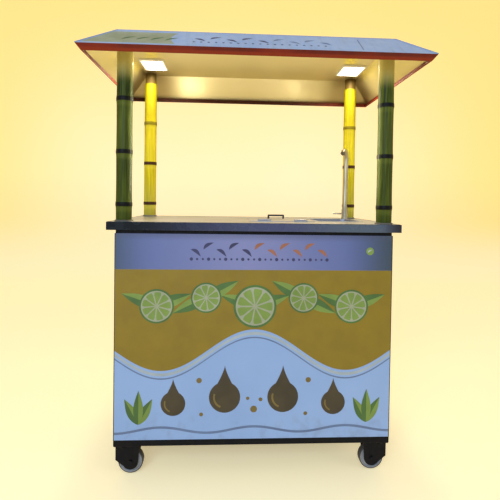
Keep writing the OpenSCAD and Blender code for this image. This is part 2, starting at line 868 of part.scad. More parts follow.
module caster_plates() {
    color([0.15, 0.15, 0.16]) for (sx = [-1, 1], sy = [-1, 1]) at_caster(sx, sy) {
        translate([0, 0, caster_h - plate_t / 2]) cube([plate_w, plate_w, plate_t], center = true);
        translate([0, 0, crown_top + swivel_gap])
            cylinder(d = race_d, h = caster_h - crown_top - swivel_gap - cut);
        translate([0, 0, crown_top - crown_t - swivel_gap - kingpin_head_h]) {
            cylinder(d = kingpin_head_d, h = kingpin_head_h);
            cylinder(d = kingpin_d, h = crown_t + race_h);
        }
    }
}

module caster_fork(sx, sy) {
    leg_y = wheel_w / 2 + leg_gap;
    color([0.06, 0.06, 0.07]) at_caster(sx, sy) {
        difference() {
            union() {
                translate([0, 0, crown_top - crown_t]) cylinder(d = crown_d, h = crown_t);
                block([-leg_back, -leg_y - leg_t, crown_top - crown_t],
                    [leg_front, leg_y + leg_t, crown_top]);
                for (s = [-1, 1]) translate([0, s * (leg_y + leg_t / 2), 0]) rotate([90, 0, 0])
                    linear_extrude(leg_t, center = true) {
                        polygon([[-leg_back, crown_top], [leg_front, crown_top], [trail + leg_r, wheel_r],
                            [trail - toe_share * leg_r, wheel_r - toe_share * leg_r], [-leg_back, leg_knee]]);
                        translate([trail, wheel_r]) circle(r = leg_r);
                    }
            }
            translate([0, 0, crown_top - crown_t - cut])
                cylinder(d = kingpin_d + 2 * run_gap, h = crown_t + 2 * cut);
            translate([trail, 0, wheel_r]) rotate([90, 0, 0])
                cylinder(d = axle_d + 2 * press_gap, h = 4 * leg_y, center = true);
        }
        translate([trail, 0, wheel_r]) rotate([90, 0, 0]) {
            cylinder(d = axle_d, h = 2 * (leg_y + leg_t + press_gap), center = true);
            for (s = [-1, 1]) translate([0, 0, s * (leg_y + leg_t + press_gap + axle_head_h / 2)])
                cylinder(d = axle_head_d, h = axle_head_h, center = true, $fn = 6);
        }
    }
}

module caster_wheel(sx, sy) {
    hub_len = wheel_w + 2 * leg_gap - 2 * swivel_gap;
    color([0.45, 0.45, 0.46]) at_caster(sx, sy) translate([trail, 0, wheel_r]) rotate([90, 0, 0])
    difference() {
        union() {
            cylinder(d = wheel_d, h = wheel_w - 2 * tread_chamfer, center = true);
            cylinder(d = wheel_d - 2 * tread_chamfer, h = wheel_w, center = true);
            cylinder(d = hub_d, h = hub_len, center = true);
        }
        for (s = [-1, 1]) translate([0, 0, s * (wheel_w / 2 - rim_recess / 2 + cut / 2)]) difference() {
            cylinder(d = rim_d, h = rim_recess + cut, center = true);
            cylinder(d = hub_d, h = rim_recess + 3 * cut, center = true);
        }
        cylinder(d = axle_d + 2 * run_gap, h = 2 * hub_len, center = true);
    }
}

module caster_fork_fl() {
    caster_fork(-1, -1);
}
module caster_fork_fr() {
    caster_fork(1, -1);
}
module caster_fork_rl() {
    caster_fork(-1, 1);
}
module caster_fork_rr() {
    caster_fork(1, 1);
}
module caster_wheel_fl() {
    caster_wheel(-1, -1);
}
module caster_wheel_fr() {
    caster_wheel(1, -1);
}
module caster_wheel_rl() {
    caster_wheel(-1, 1);
}
module caster_wheel_rr() {
    caster_wheel(1, 1);
}

// Mill

plate_half = 138;
plate_rise = 270;
plate_corner = 45;
bush_wall = 5;
bush_flange = 1;
rod_d = 16;
rod_nut_d = 26;
rod_nut_h = 10;
rod_in = 13;
rod_low_rise = 48;
rod_high_drop = 18;
rod_high_front = 45;
rod_high_back = 25;
groove_pitch = 8;
groove_deep = 2;
groove_shares = [[0, 0], [1, 0.5]];
shaft_tail = 8;
rod_spots = concat(
    [for (s = [-1, 1]) [s * (plate_half - rod_in), bearer_z + rod_low_rise]],
    [for (y = [-rod_high_front, rod_high_back]) [y, bearer_z + plate_rise - rod_high_drop]]
);

module mill_plate(x0) {
    z0 = bearer_z;
    z1 = bearer_z + plate_rise;
    difference() {
        translate([x0, 0, 0]) rotate([90, 0, 90]) linear_extrude(mill_plate_t)
            polygon([[-plate_half, z0], [plate_half, z0], [plate_half, z0 + plate_rise / 2],
                [plate_corner, z1], [-plate_half + plate_corner, z1], [-plate_half, z1 - plate_corner]]);
        for (at = roller_spots) turned_x(x0 - cut, x0 + mill_plate_t + cut, at, shaft_d + 2 * bush_wall);
        for (at = rod_spots) turned_x(x0 - cut, x0 + mill_plate_t + cut, at, rod_d + 2 * press_gap);
    }
}

module mill_plates() {
    color([0.5, 0.52, 0.54]) {
        mill_plate(mill_mid - plate_out);
        mill_plate(mill_mid + plate_in);
    }
}

module mill_tie_rods() {
    reach = plate_out + press_gap;
    color([0.6, 0.6, 0.62]) for (at = rod_spots) {
        turned_x(mill_mid - reach - rod_nut_h / 2, mill_mid + reach + rod_nut_h / 2, at, rod_d);
        for (x = [mill_mid - reach - rod_nut_h, mill_mid + reach]) {
            translate([x, at[0], at[1]]) rotate([0, 90, 0]) cylinder(d = rod_nut_d, h = rod_nut_h, $fn = 6);
        }
    }
}

module roller_bushes() {
    out_d = shaft_d + 2 * bush_wall - 2 * press_gap;
    color([0.72, 0.5, 0.2]) for (at = roller_spots, x = [mill_mid - plate_out, mill_mid + plate_in]) {
        difference() {
            turned_x(x - bush_flange, x + mill_plate_t + bush_flange, at, out_d);
            turned_x(x - bush_flange - cut, x + mill_plate_t + bush_flange + cut, at, shaft_d + 2 * run_gap);
        }
    }
}

module roller(at) {
    half = roller_len / 2;
    grooves = floor(roller_len / groove_pitch);
    color([0.62, 0.63, 0.65]) {
        translate([mill_mid, at[0], at[1]]) rotate([0, 90, 0]) rotate_extrude()
            polygon(concat([[0, -half]],
                [for (k = [0:grooves - 1], p = groove_shares)
                    [roller_d / 2 - groove_deep * p[0], -half + (k + p[1]) * roller_len / grooves]],
                [[roller_d / 2, half], [0, half]]));
        turned_x(mill_mid + gear_out - shaft_tail, mill_mid + plate_out + shaft_tail, at, shaft_d);
    }
}
module top_roller() {
    roller(top_at);
}
module feed_roller() {
    roller(feed_at);
}
module discharge_roller() {
    roller(discharge_at);
}

module top_gear() {
    color([0.3, 0.3, 0.32]) spur_gear(gear_teeth, top_phase, top_at, shaft_d + 2 * press_gap);
}
module feed_gear() {
    color([0.3, 0.3, 0.32]) spur_gear(gear_teeth, feed_phase, feed_at, shaft_d + 2 * press_gap);
}
module discharge_gear() {
    color([0.3, 0.3, 0.32]) spur_gear(gear_teeth, discharge_phase, discharge_at, shaft_d + 2 * press_gap);
}

// Geared motor with its output shaft along X
out_shaft_d = 24;
out_shaft_in = 40;
motor_gap = 10;
gearbox_d = 140;
gearbox_len = 96;
motor_d = 118;
motor_len = 180;
fin_proud = 5;
fin_t = 4;
fin_pitch = 14;
cowl_d = 126;
cowl_len = 46;
foot_w = 140;
foot_t = 12;
axis_h = 85;
terminal_w = 80;
terminal_d = 70;
terminal_h = 46;
gearbox_face = mill_mid + gear_out - motor_gap;
motor_face = gearbox_face - gearbox_len;

module drive_pinion() {
    color([0.35, 0.35, 0.37]) {
        spur_gear(pinion_teeth, pinion_phase, pinion_at, out_shaft_d);
        turned_x(gearbox_face - out_shaft_in, mill_mid + gear_in, pinion_at, out_shaft_d);
    }
}

module gear_motor() {
    foot_z = pinion_at[1] - axis_h;
    terminal_z = pinion_at[1] + motor_d / 2 + terminal_h / 4;
    fins = floor(motor_len / fin_pitch) - 1;
    color([0.2, 0.32, 0.45]) difference() {
        union() {
            turned_x(motor_face, gearbox_face, pinion_at, gearbox_d);
            turned_x(motor_face - motor_len, motor_face + cut, pinion_at, motor_d);
            for (k = [1:fins]) turned_x(motor_face - k * fin_pitch - fin_t, motor_face - k * fin_pitch,
                pinion_at, motor_d + 2 * fin_proud);
            turned_x(motor_face - motor_len - cowl_len, motor_face - motor_len + cut, pinion_at, cowl_d);
            block([motor_face, pinion_at[0] - foot_w / 2, foot_z],
                [gearbox_face - motor_gap, pinion_at[0] + foot_w / 2, foot_z + foot_t]);
            block([motor_face + motor_gap, pinion_at[0] - foot_w / 4, foot_z],
                [gearbox_face - 2 * motor_gap, pinion_at[0] + foot_w / 4, pinion_at[1]]);
            translate([motor_face - motor_len / 2, pinion_at[0], terminal_z])
                cube([terminal_w, terminal_d, terminal_h], center = true);
        }
        turned_x(gearbox_face - out_shaft_in - cut, gearbox_face + cut, pinion_at, out_shaft_d + 2 * run_gap);
    }
}

stand_t = 6;
module motor_stand() {
    top = pinion_at[1] - axis_h;
    low = -foot_w / 2 - stand_t + pinion_at[0];
    color([0.08, 0.08, 0.1]) translate([motor_face, 0, 0]) {
        block([0, low, bearer_z], [gearbox_len - motor_gap, bearer_y + tube_mid, bearer_z + stand_t]);
        block([0, low, top - stand_t], [gearbox_len - motor_gap, pinion_at[0] + foot_w / 2 + stand_t, top]);
        for (y = [low, pinion_at[0] + foot_w / 2]) {
            block([0, y, bearer_z], [gearbox_len - motor_gap, y + stand_t, top]);
        }
    }
}

// Turn plate: the bar under the top roller that leads cane from nip to nip
turn_near = 51;
turn_far = 92;
turn_w = 26;
turn_gap = 2.5;
module turn_plate() {
    mid_angle = (feed_angle + discharge_angle) / 2;
    color([0.55, 0.55, 0.57]) difference() {
        translate([mill_mid, top_at[0], top_at[1]]) rotate([mid_angle, 0, 0])
            translate([0, (turn_near + turn_far) / 2, 0])
                cube([2 * plate_in, turn_far - turn_near, turn_w], center = true);
        for (at = roller_spots)
            turned_x(mill_mid - plate_out, mill_mid + plate_out, at, roller_d + 2 * turn_gap);
    }
}

// Juice tray with its outlet pipe, the pot and its strainer
tray_wall = 1.5;
tray_front = -130;
tray_back = 178;
tray_h = 30;
tray_play = 2.5;
tray_half = roller_len / 2 + tray_play;
outlet_d = 32;
outlet_wall = 2;
outlet_in = 28;
outlet_drop = 26;
pot_d = 180;
pot_h = 330;
pot_wall = 1.5;
pot_rim = 5;
pot_gap = 14;
pot_x = bay_right + pot_gap + pot_d / 2;
outlet_x = mill_mid + tray_half - outlet_d;
outlet_y = tray_back - outlet_in;
outlet_z = bearer_z - outlet_drop;
spout_gap = 40;
spout_low = floor_top + pot_h + spout_gap;

module outlet_path(d, over) {
    translate([outlet_x, outlet_y, outlet_z])
        cylinder(d = d, h = bearer_z - outlet_z + tray_wall / 2 + over);
    translate([outlet_x, outlet_y, outlet_z]) sphere(d = d);
    translate([outlet_x, outlet_y, outlet_z]) rotate([0, 90, 0]) cylinder(d = d, h = pot_x - outlet_x);
    translate([pot_x, outlet_y, outlet_z]) sphere(d = d);
    translate([pot_x, outlet_y, spout_low - over]) cylinder(d = d, h = outlet_z - spout_low + over);
}

module juice_tray() {
    color([0.8, 0.81, 0.83]) difference() {
        union() {
            block([mill_mid - tray_half, tray_front, bearer_z],
                [mill_mid + tray_half, tray_back, bearer_z + tray_h]);
            outlet_path(outlet_d, 0);
        }
        block([mill_mid - tray_half + tray_wall, tray_front + tray_wall, bearer_z + tray_wall],
            [mill_mid + tray_half - tray_wall, tray_back - tray_wall, bearer_z + tray_h + cut]);
        outlet_path(outlet_d - 2 * outlet_wall, 2 * cut);
    }
}

module juice_pot() {
    color([0.82, 0.83, 0.85]) translate([pot_x, outlet_y, floor_top]) difference() {
        union() {
            cylinder(d = pot_d, h = pot_h);
            translate([0, 0, pot_h - pot_rim]) cylinder(d = pot_d + pot_rim, h = pot_rim);
        }
        translate([0, 0, pot_wall]) cylinder(d = pot_d - 2 * pot_wall, h = pot_h);
    }
}

sieve_rim = 12;
sieve_lip = 5;
sieve_h = 26;
sieve_hole_d = 7;
sieve_rings = 3;
sieve_play = 3;
module juice_strainer() {
    z = floor_top + pot_h + press_gap;
    r_in = pot_d / 2 - pot_wall - sieve_play;
    ring_step = (r_in - sieve_rim) / sieve_rings;
    color([0.7, 0.71, 0.74]) translate([pot_x, outlet_y, z]) difference() {
        union() {
            cylinder(d = pot_d + sieve_lip, h = pot_wall);
            translate([0, 0, -sieve_h]) cylinder(r = r_in, h = sieve_h + pot_wall);
        }
        translate([0, 0, pot_wall - sieve_h]) cylinder(r = r_in - pot_wall, h = sieve_h + cut);
        for (ring = [1:sieve_rings], k = [0:6 * ring - 1]) rotate([0, 0, k * 60 / ring])
            translate([ring * ring_step, 0, -sieve_h - cut])
                cylinder(d = sieve_hole_d, h = pot_wall + 2 * cut);
    }
}

module feed_chute() {
    far = frame_y + panel_t + chute_lip;
    color([0.8, 0.81, 0.83]) difference() {
        union() {
            chute_frame() translate([0, chute_start + chute_run / 2, 0])
                cube([chute_w, chute_run, chute_h], center = true);
            translate([mill_mid, cab_y + chute_wall / 2 + press_gap, mouth_z])
                cube([chute_w + 2 * chute_flange, chute_wall, mouth_h + 2 * chute_flange], center = true);
        }
        chute_frame() translate([0, chute_run, 0])
            cube([chute_w - 2 * chute_wall, 3 * chute_run, chute_h - 2 * chute_wall], center = true);
        translate([mill_mid, far + chute_run, mouth_z]) cube(2 * chute_run, center = true);
    }
}

bin_grip_w = 90;
bin_grip_h = 26;
bin_grip_drop = 40;
module bagasse_bin() {
    x0 = mill_mid - bin_w / 2;
    x1 = mill_mid + bin_w / 2;
    y0 = -frame_y + tube + bin_front_gap;
    z0 = floor_top + seat_gap;
    color([0.3, 0.32, 0.34]) difference() {
        union() {
            block([x0, y0, z0], [x1, door_face, z0 + bin_h]);
            block([mullion_left + door_gap, door_y, door_low],
                [mullion_right - door_gap, door_face, door_high]);
        }
        block([x0 + bin_wall, y0 + bin_wall, z0 + bin_wall],
            [x1 - bin_wall, door_y, z0 + bin_h + cut]);
        translate([mill_mid, door_y, door_high - bin_grip_drop])
            cube([bin_grip_w, 4 * panel_t, bin_grip_h], center = true);
    }
}

// Controls

module switch_box() {
    mid_x = (knob_x + stop_x) / 2;
    color([0.7, 0.7, 0.72]) translate([mid_x, frame_y - press_gap - box_d / 2, control_z]) difference() {
        cube([box_w, box_d, box_h], center = true);
        translate([0, box_wall, 0])
            cube([box_w - 2 * box_wall, box_d, box_h - 2 * box_wall], center = true);
    }
}

module direction_knob() {
    color([0.08, 0.08, 0.08]) translate([knob_x, cab_y + face_gap, control_z]) rotate([-90, 0, 0]) {
        cylinder(d = knob_d, h = knob_h);
        translate([0, 0, knob_h + knob_grip_h / 2])
            cube([knob_shaft_d, knob_d - knob_shaft_d, knob_grip_h], center = true);
        translate([0, 0, -stem_len]) cylinder(d = knob_shaft_d, h = stem_len + cut);
    }
}

module stop_button() {
    y = cab_y + stop_travel + face_gap;
    stem = stop_travel + stem_len;
    color([0.7, 0.05, 0.05]) translate([stop_x, y, control_z]) rotate([-90, 0, 0]) {
        cylinder(d = stop_d, h = stop_cap_h);
        translate([0, 0, -stem]) cylinder(d = stop_stem_d, h = stem + cut);
    }
}

module power_inlet() {
    pin_w = 2.5;
    pin_h = 8;
    recess = 3;
    flange_w = inlet_w + 2 * inlet_flange;
    flange_h = inlet_h + 2 * inlet_flange;
    color([0.07, 0.07, 0.07]) translate([inlet_x, 0, inlet_z]) {
        difference() {
            union() {
                translate([0, cab_y + inlet_flange_t / 2, 0])
                    cube([flange_w, inlet_flange_t, flange_h], center = true);
                translate([0, cab_y - inlet_depth / 2, 0])
                    cube([inlet_w, inlet_depth + cut, inlet_h], center = true);
            }
            translate([0, cab_y - inlet_depth / 2 + 2 * recess, 0])
                cube([inlet_w - 2 * recess, inlet_depth, inlet_h - 2 * recess], center = true);
        }
        for (s = [-1, 0, 1])
            translate([s == 0 ? pin_h / 2 : -pin_h / 2, cab_y - inlet_depth / 2, s * inlet_h / 4])
                cube([pin_h, inlet_depth - recess, pin_w], center = true);
    }
}

base_frame();
cabinet_frame();
floor_shelf();
front_panel();
side_panels();
rear_panel();
door_left();
door_right();
door_pull_left();
door_pull_right();
butt_hinges();
countertop();
counter_edge();
hatch_lid();
hatch_handle();
sink_bowl();
sink_drain();
tap_base();
tap_neck();
tap_lever();
water_cans();
post_cores();
front_sleeves();
rear_sleeves();
roof_shell();
ceiling_lining();
eave_trim();
lamp_housings();
lamp_lenses();
caster_plates();
caster_fork_fl();
caster_fork_fr();
caster_fork_rl();
caster_fork_rr();
caster_wheel_fl();
caster_wheel_fr();
caster_wheel_rl();
caster_wheel_rr();
mill_plates();
mill_tie_rods();
roller_bushes();
top_roller();
feed_roller();
discharge_roller();
top_gear();
feed_gear();
discharge_gear();
drive_pinion();
gear_motor();
motor_stand();
turn_plate();
juice_tray();
juice_strainer();
juice_pot();
feed_chute();
bagasse_bin();
switch_box();
direction_knob();
stop_button();
power_inlet();
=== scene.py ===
# %% [markdown]
# # A sugarcane juice cart
# The cart arrives as a imported model: every plate, tube, hinge and gear is already in its
# place, in metres, with the floor at zero. This lesson only dresses it. We could model the
# cart again in Blender, but then two models would have to agree, so we load the one that
# exists.

import math

import bmesh
import bpy
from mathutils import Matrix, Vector


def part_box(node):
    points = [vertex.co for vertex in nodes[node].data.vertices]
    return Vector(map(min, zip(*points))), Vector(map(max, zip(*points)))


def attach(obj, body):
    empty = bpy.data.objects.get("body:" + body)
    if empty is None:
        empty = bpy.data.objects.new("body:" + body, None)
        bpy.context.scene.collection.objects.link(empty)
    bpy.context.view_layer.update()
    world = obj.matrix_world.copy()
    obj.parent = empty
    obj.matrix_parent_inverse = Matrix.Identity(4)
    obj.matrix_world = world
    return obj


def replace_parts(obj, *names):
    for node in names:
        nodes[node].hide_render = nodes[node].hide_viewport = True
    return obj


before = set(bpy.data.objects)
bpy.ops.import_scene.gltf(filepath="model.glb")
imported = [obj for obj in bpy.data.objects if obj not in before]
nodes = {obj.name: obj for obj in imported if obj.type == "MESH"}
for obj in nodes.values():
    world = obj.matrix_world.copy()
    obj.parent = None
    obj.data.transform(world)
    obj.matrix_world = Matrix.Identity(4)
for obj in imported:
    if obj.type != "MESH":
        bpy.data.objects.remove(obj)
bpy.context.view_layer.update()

# %% [markdown]
# ## The camera
# The photograph was taken from chest height, a little left of the middle and turned a
# little to the right, with the phone held slightly askew. A Track To constraint would
# level the picture, so we build the camera's own three axes from yaw, pitch and roll and
# write them into its matrix. The lens shift puts the cart where the picture has it.

# %% Camera
EYE = Vector((-0.1017, -1.9794, 1.1334))
YAW, PITCH, ROLL = 0.0496, -0.01847, 0.01417

lens = bpy.data.cameras.new("stall_camera")
lens.lens, lens.sensor_width = 29.52, 36.0
lens.shift_x, lens.shift_y = -0.0038, -0.0835
camera = bpy.data.objects.new("stall_camera", lens)
bpy.context.scene.collection.objects.link(camera)

flat = math.cos(PITCH)
ahead = Vector((math.sin(YAW) * flat, math.cos(YAW) * flat, math.sin(PITCH)))
level = Vector((math.cos(YAW), -math.sin(YAW), 0.0))
above = level.cross(ahead)
side_axis = math.cos(ROLL) * level + math.sin(ROLL) * above
top_axis = math.cos(ROLL) * above - math.sin(ROLL) * level
turn = camera.matrix_world.to_3x3()
turn.col[0], turn.col[1], turn.col[2] = side_axis, top_axis, -ahead
camera.matrix_world = turn.to_4x4()
camera.location = EYE
bpy.context.scene.camera = camera
bpy.context.scene.view_settings.view_transform = "Standard"
print("camera at", tuple(EYE))

# %% [markdown]
# ## Colours and finishes
# A finish is a Principled surface with some patterns in front of it. Wiring nodes one by
# one gets long, so a small class keeps the material and offers the few patterns a cart
# needs: soft noise, bands along an axis, worn edges and bump. All patterns run in Object
# coordinates. Every piece sits at the origin, so one unit of texture is one metre of cart.

# %% Finish helper
def tone(red, green, blue):
    """Screen bytes of a colour, turned into the linear colour of a shader."""
    line = [c / 255 for c in (red, green, blue)]
    return tuple(c / 12.92 if c < 0.04 else ((c + 0.055) / 1.055) ** 2.4 for c in line) + (1.0,)


class Finish:
    """A material in the making: patterns go in front, then the sockets of its surface are set."""

    def __init__(self, name, rough=0.5, metal=0.0, **sockets):
        self.material = bpy.data.materials.new(name)
        self.material.use_nodes = True
        self.tree = self.material.node_tree
        self.skin = self.tree.nodes["Principled BSDF"]
        self.place = self.add("TexCoord").outputs["Object"]
        self.skin.inputs["Roughness"].default_value = rough
        self.skin.inputs["Metallic"].default_value = metal
        for words, value in sockets.items():
            socket = words.replace("_", " ").title().replace("Ior", "IOR")
            self.skin.inputs[socket].default_value = value
        self.normal = None

    def add(self, kind, **settings):
        node = self.tree.nodes.new("ShaderNode" + kind)
        for key, value in settings.items():
            setattr(node, key, value)
        return node

    def plug(self, socket, value):
        if isinstance(value, bpy.types.NodeSocket):
            self.tree.links.new(value, socket)
        else:
            socket.default_value = value

    def set(self, words, value):
        self.plug(self.skin.inputs[words], value)
        return self

    def paint(self, colour):
        return self.set("Base Color", colour)

    def roughen(self, value, low, high):
        return self.set("Roughness", self.ramp(value, 0, 1, (low, high)))

    def ramp(self, value, low, high, to=(0.0, 1.0)):
        node = self.add("MapRange", interpolation_type="SMOOTHSTEP")
        for words, number in zip(("From Min", "From Max", "To Min", "To Max"), (low, high, *to)):
            node.inputs[words].default_value = number
        self.plug(node.inputs["Value"], value)
        return node.outputs["Result"]

    def math(self, operation, a, b):
        node = self.add("Math", operation=operation)
        self.plug(node.inputs[0], a)
        self.plug(node.inputs[1], b)
        return node.outputs[0]

    def times(self, a, b):
        return self.math("MULTIPLY", a, b)

    def mix(self, a, b, share):
        """Blends two colours; each is a socket or the screen bytes of a colour."""
        node = self.add("MixRGB")
        self.plug(node.inputs["Fac"], share)
        for words, colour in (("Color1", a), ("Color2", b)):
            self.plug(node.inputs[words], tone(*colour) if isinstance(colour, tuple) else colour)
        return node.outputs["Color"]

    def stretched(self, stretch):
        node = self.add("VectorMath", operation="MULTIPLY")
        self.plug(node.inputs[0], self.place)
        node.inputs[1].default_value = stretch
        return node.outputs["Vector"]

    def noise(self, scale, low=0.35, high=0.65, detail=3.0, stretch=(1, 1, 1)):
        node = self.add("TexNoise")
        self.plug(node.inputs["Vector"], self.stretched(stretch))
        node.inputs["Scale"].default_value = scale
        node.inputs["Detail"].default_value = detail
        return self.ramp(node.outputs[0], low, high)

    def along(self, axis):
        node = self.add("SeparateXYZ")
        self.plug(node.inputs[0], self.place)
        return node.outputs[axis]

    def fade(self, axis, low, high, to=(0.0, 1.0)):
        return self.ramp(self.along(axis), low, high, to)

    def band(self, axis, low, high, soft):
        value = self.along(axis)
        return self.math("SUBTRACT", self.ramp(value, low - soft, low + soft),
                         self.ramp(value, high - soft, high + soft))

    def worn_edges(self, reach):
        rounded = self.add("Bevel", samples=4)
        rounded.inputs["Radius"].default_value = reach
        dot = self.add("VectorMath", operation="DOT_PRODUCT")
        self.plug(dot.inputs[0], rounded.outputs[0])
        self.plug(dot.inputs[1], self.add("NewGeometry").outputs["True Normal"])
        return self.ramp(dot.outputs["Value"], 0.985, 0.82)

    def chipped(self, reach, *specks):
        return self.times(self.worn_edges(reach), self.noise(*specks))

    def bump(self, height, depth, strength=1.0):
        node = self.add("Bump")
        node.inputs["Strength"].default_value = strength
        node.inputs["Distance"].default_value = depth
        self.plug(node.inputs["Height"], height)
        if self.normal is not None:
            self.plug(node.inputs["Normal"], self.normal)
        self.normal = node.outputs["Normal"]
        return self.set("Normal", self.normal)


print("finish helper ready")

# %% [markdown]
# ## Floor, backdrop and light
# The cart stands in front of a warm yellow backdrop. A studio uses one sheet of paper that
# curves from floor to wall, so no line shows where they meet. The paper glows a little by
# itself here, which keeps its colour even in the corners, as the picture has it. The world
# gives a cool even light, two soft panels shape the front, and small ones sit under the
# lamps of the canopy. What the worktop throws back up is one more wide panel, because a
# short render finds such bounced light slowly, and four narrow panels give the glare on the
# lining and the sheen on the front posts.

# %% Backdrop paper
PAPER_REACH, PAPER_STRIP, CURVE_AT, BEND, WALL_TOP = 40.0, 4.0, 3.5, 1.6, 9.0
UNDER_TYRES = 0.0005


def paper_sheet():
    edge = [(y, 0.0) for y in (-PAPER_REACH, -3.0, 0.0, CURVE_AT)]
    edge += [(CURVE_AT + BEND * math.sin(a), BEND - BEND * math.cos(a))
             for a in (math.pi / 2 * k / 16 for k in range(1, 17))]
    edge.append((CURVE_AT + BEND, WALL_TOP))
    shape = bmesh.new()
    columns = (-PAPER_REACH, -PAPER_STRIP, PAPER_STRIP, PAPER_REACH)
    rows = [[shape.verts.new((x, y, z - UNDER_TYRES)) for x in columns] for y, z in edge]
    for a, b in zip(rows, rows[1:]):
        for k in range(len(columns) - 1):
            shape.faces.new((a[k], a[k + 1], b[k + 1], b[k]))
    mesh = bpy.data.meshes.new("backdrop_paper")
    shape.to_mesh(mesh)
    shape.free()
    mesh.polygons.foreach_set("use_smooth", [True] * len(mesh.polygons))
    sheet = bpy.data.objects.new("backdrop_paper", mesh)
    bpy.context.scene.collection.objects.link(sheet)
    return sheet


paper = Finish("backdrop_paper", rough=0.95)
# painted light: the paper is paler in a wide soft pool round the middle, behind the cart
middle = paper.times(paper.band("X", -3.2, 3.2, 1.8), paper.band("Z", 0.2, 3.0, 1.6))
warm = paper.mix((250, 222, 142), (253, 236, 200), middle)
mottle = paper.times(paper.noise(0.35, 0.3, 0.7, 1.0), 0.25)
warm = paper.mix(warm, (249, 224, 154), mottle)
warm = paper.mix(warm, (252, 235, 190), paper.fade("Z", 0.9, 0.0))
paper.paint(warm).set("Emission Color", warm)
paper.set("Emission Strength", 0.42)
paper.set("Specular IOR Level", 0.1)
backdrop = paper_sheet()
backdrop.data.materials.append(paper.material)
print("backdrop laid")

# %% Room light and soft panels
def soft_panel(name, spot, aim, width, height, power, colour, spread=180):
    data = bpy.data.lights.new(name, "AREA")
    data.spread = math.radians(spread)
    data.shape, data.size, data.size_y = "RECTANGLE", width, height
    data.energy, data.color = power, colour
    panel = bpy.data.objects.new(name, data)
    panel.location = spot
    panel.rotation_euler = (Vector(aim) - Vector(spot)).to_track_quat("-Z", "Y").to_euler()
    panel.visible_camera = False
    bpy.context.scene.collection.objects.link(panel)


world = bpy.data.worlds.new("soft_room")
world.use_nodes = True
room = world.node_tree.nodes["Background"].inputs
room["Color"].default_value, room["Strength"].default_value = (0.86, 0.92, 1.0, 1.0), 0.50
bpy.context.scene.world = world
soft_panel("front_panel_light", (-1.2, -4.2, 2.6), (0, 0, 0.8), 2.6, 2.0, 125, (0.56, 0.75, 1.0))
soft_panel("right_fill_light", (3.4, -2.0, 1.8), (0, 0, 0.8), 1.6, 1.6, 14, (1.0, 0.95, 0.88))
print("room strength", room["Strength"].default_value)

# %% Lamps, bounce and glare
LENS_LOW, LENS_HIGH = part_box("lamp_lenses")
LENS_HALF, BELOW_LENS = 0.053, 0.006
LENS_X, LENS_Y = LENS_HIGH.x - LENS_HALF, (LENS_LOW.y + LENS_HIGH.y) / 2
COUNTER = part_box("countertop")[1].z
POST_X, POST_Y = 0.544, 0.269
for side in (-1, 1):
    lamp = Vector((side * LENS_X, LENS_Y, LENS_LOW.z - BELOW_LENS))
    soft_panel("lamp_light_%d" % side, lamp, lamp - Vector((0, 0, 1)), 0.1, 0.13, 3.2, (1.0, 0.9, 0.7))
bounce = Vector((-0.08, 0.05, COUNTER + 0.03))
soft_panel("worktop_bounce", bounce, (-0.08, 0.05, 2), 0.86, 0.56, 0.95, (1.0, 0.86, 0.62))
for x, wide, power in ((-0.37, 0.13, 0.18), (0.31, 0.05, 0.035)):
    soft_panel("slope_glare_%d" % round(100 * x), (x, 0.31, 1.40), (x, 0.36, 1.75), wide, 0.035, power,
               (1.0, 0.96, 0.88))
for side in (-1, 1):
    soft_panel("post_glow_%d" % side, (side * 0.30, -0.13, 1.42), (side * POST_X, -POST_Y, 1.40),
               0.06, 0.5, 0.85, (1.0, 0.95, 0.62), 75)

# %% [markdown]
# ## Paint and metal for the built pieces
# Most pieces keep the mesh they came with and only need a surface. Paint on a working cart
# is never one colour: it has soft clouds from the spray gun, a fine orange peel and bare
# specks along its edges. Brushed sheet has thousands of short scratches along one axis. The
# brass cores of the posts are brown at the rear, painted shade for the dim back of the
# canopy. Each of these is one function, called with the colours of the piece.

# %% Paint, plastic and metal makers
ALONG_Z = (260, 260, 3)


def worn_paint(name, colour, shade, bare, rough=0.42, chips=0.6, dusty=0.06, **sockets):
    finish = Finish(name, rough, **sockets)
    body = finish.mix(shade, colour, finish.noise(7.0, 0.25, 0.75))
    dust = finish.noise(42.0, 0.55, 0.8, 5.0)
    body = finish.mix(body, (150, 140, 125), finish.times(dust, dusty))
    chip = finish.chipped(0.0035, 160.0, 0.48, 0.6, 4.0)
    finish.paint(finish.mix(body, bare, finish.times(chip, chips)))
    cloud = finish.noise(30.0, 0.2, 0.8, 4.0)
    finish.roughen(cloud, rough - 0.08, rough + 0.12)
    return finish.bump(finish.noise(420.0, 0.3, 0.7, 1.0), 0.0004, 0.25)


def brushed_metal(name, colour, shade, rough=0.28, grain=(3, 260, 260), scratch=0.35, patchy=1.0):
    finish = Finish(name, rough, 1.0)
    lines = finish.noise(3.0, 0.2, 0.8, 6.0, grain)
    share = finish.math("ADD", finish.times(lines, 0.5), finish.times(finish.noise(5.0), 0.5))
    finish.paint(finish.mix(shade, colour, share))
    cloud = finish.noise(11.0, 0.25, 0.75, 4.0)
    finish.roughen(cloud, rough - 0.06 * patchy, rough + 0.14 * patchy)
    return finish.bump(lines, 0.0002, scratch)


def moulded_plastic(name, colour, shade, rough=0.45, **sockets):
    finish = Finish(name, rough, **sockets)
    body = finish.mix(shade, colour, finish.noise(14.0, 0.25, 0.75))
    scuff = finish.chipped(0.002, 210.0, 0.45, 0.65)
    finish.paint(finish.mix(body, (140, 138, 134), finish.times(scuff, 0.35)))
    finish.roughen(finish.noise(75.0), rough - 0.06, rough + 0.1)
    return finish.bump(finish.noise(1300.0, 0.3, 0.7, 1.0), 0.0002, 0.3)


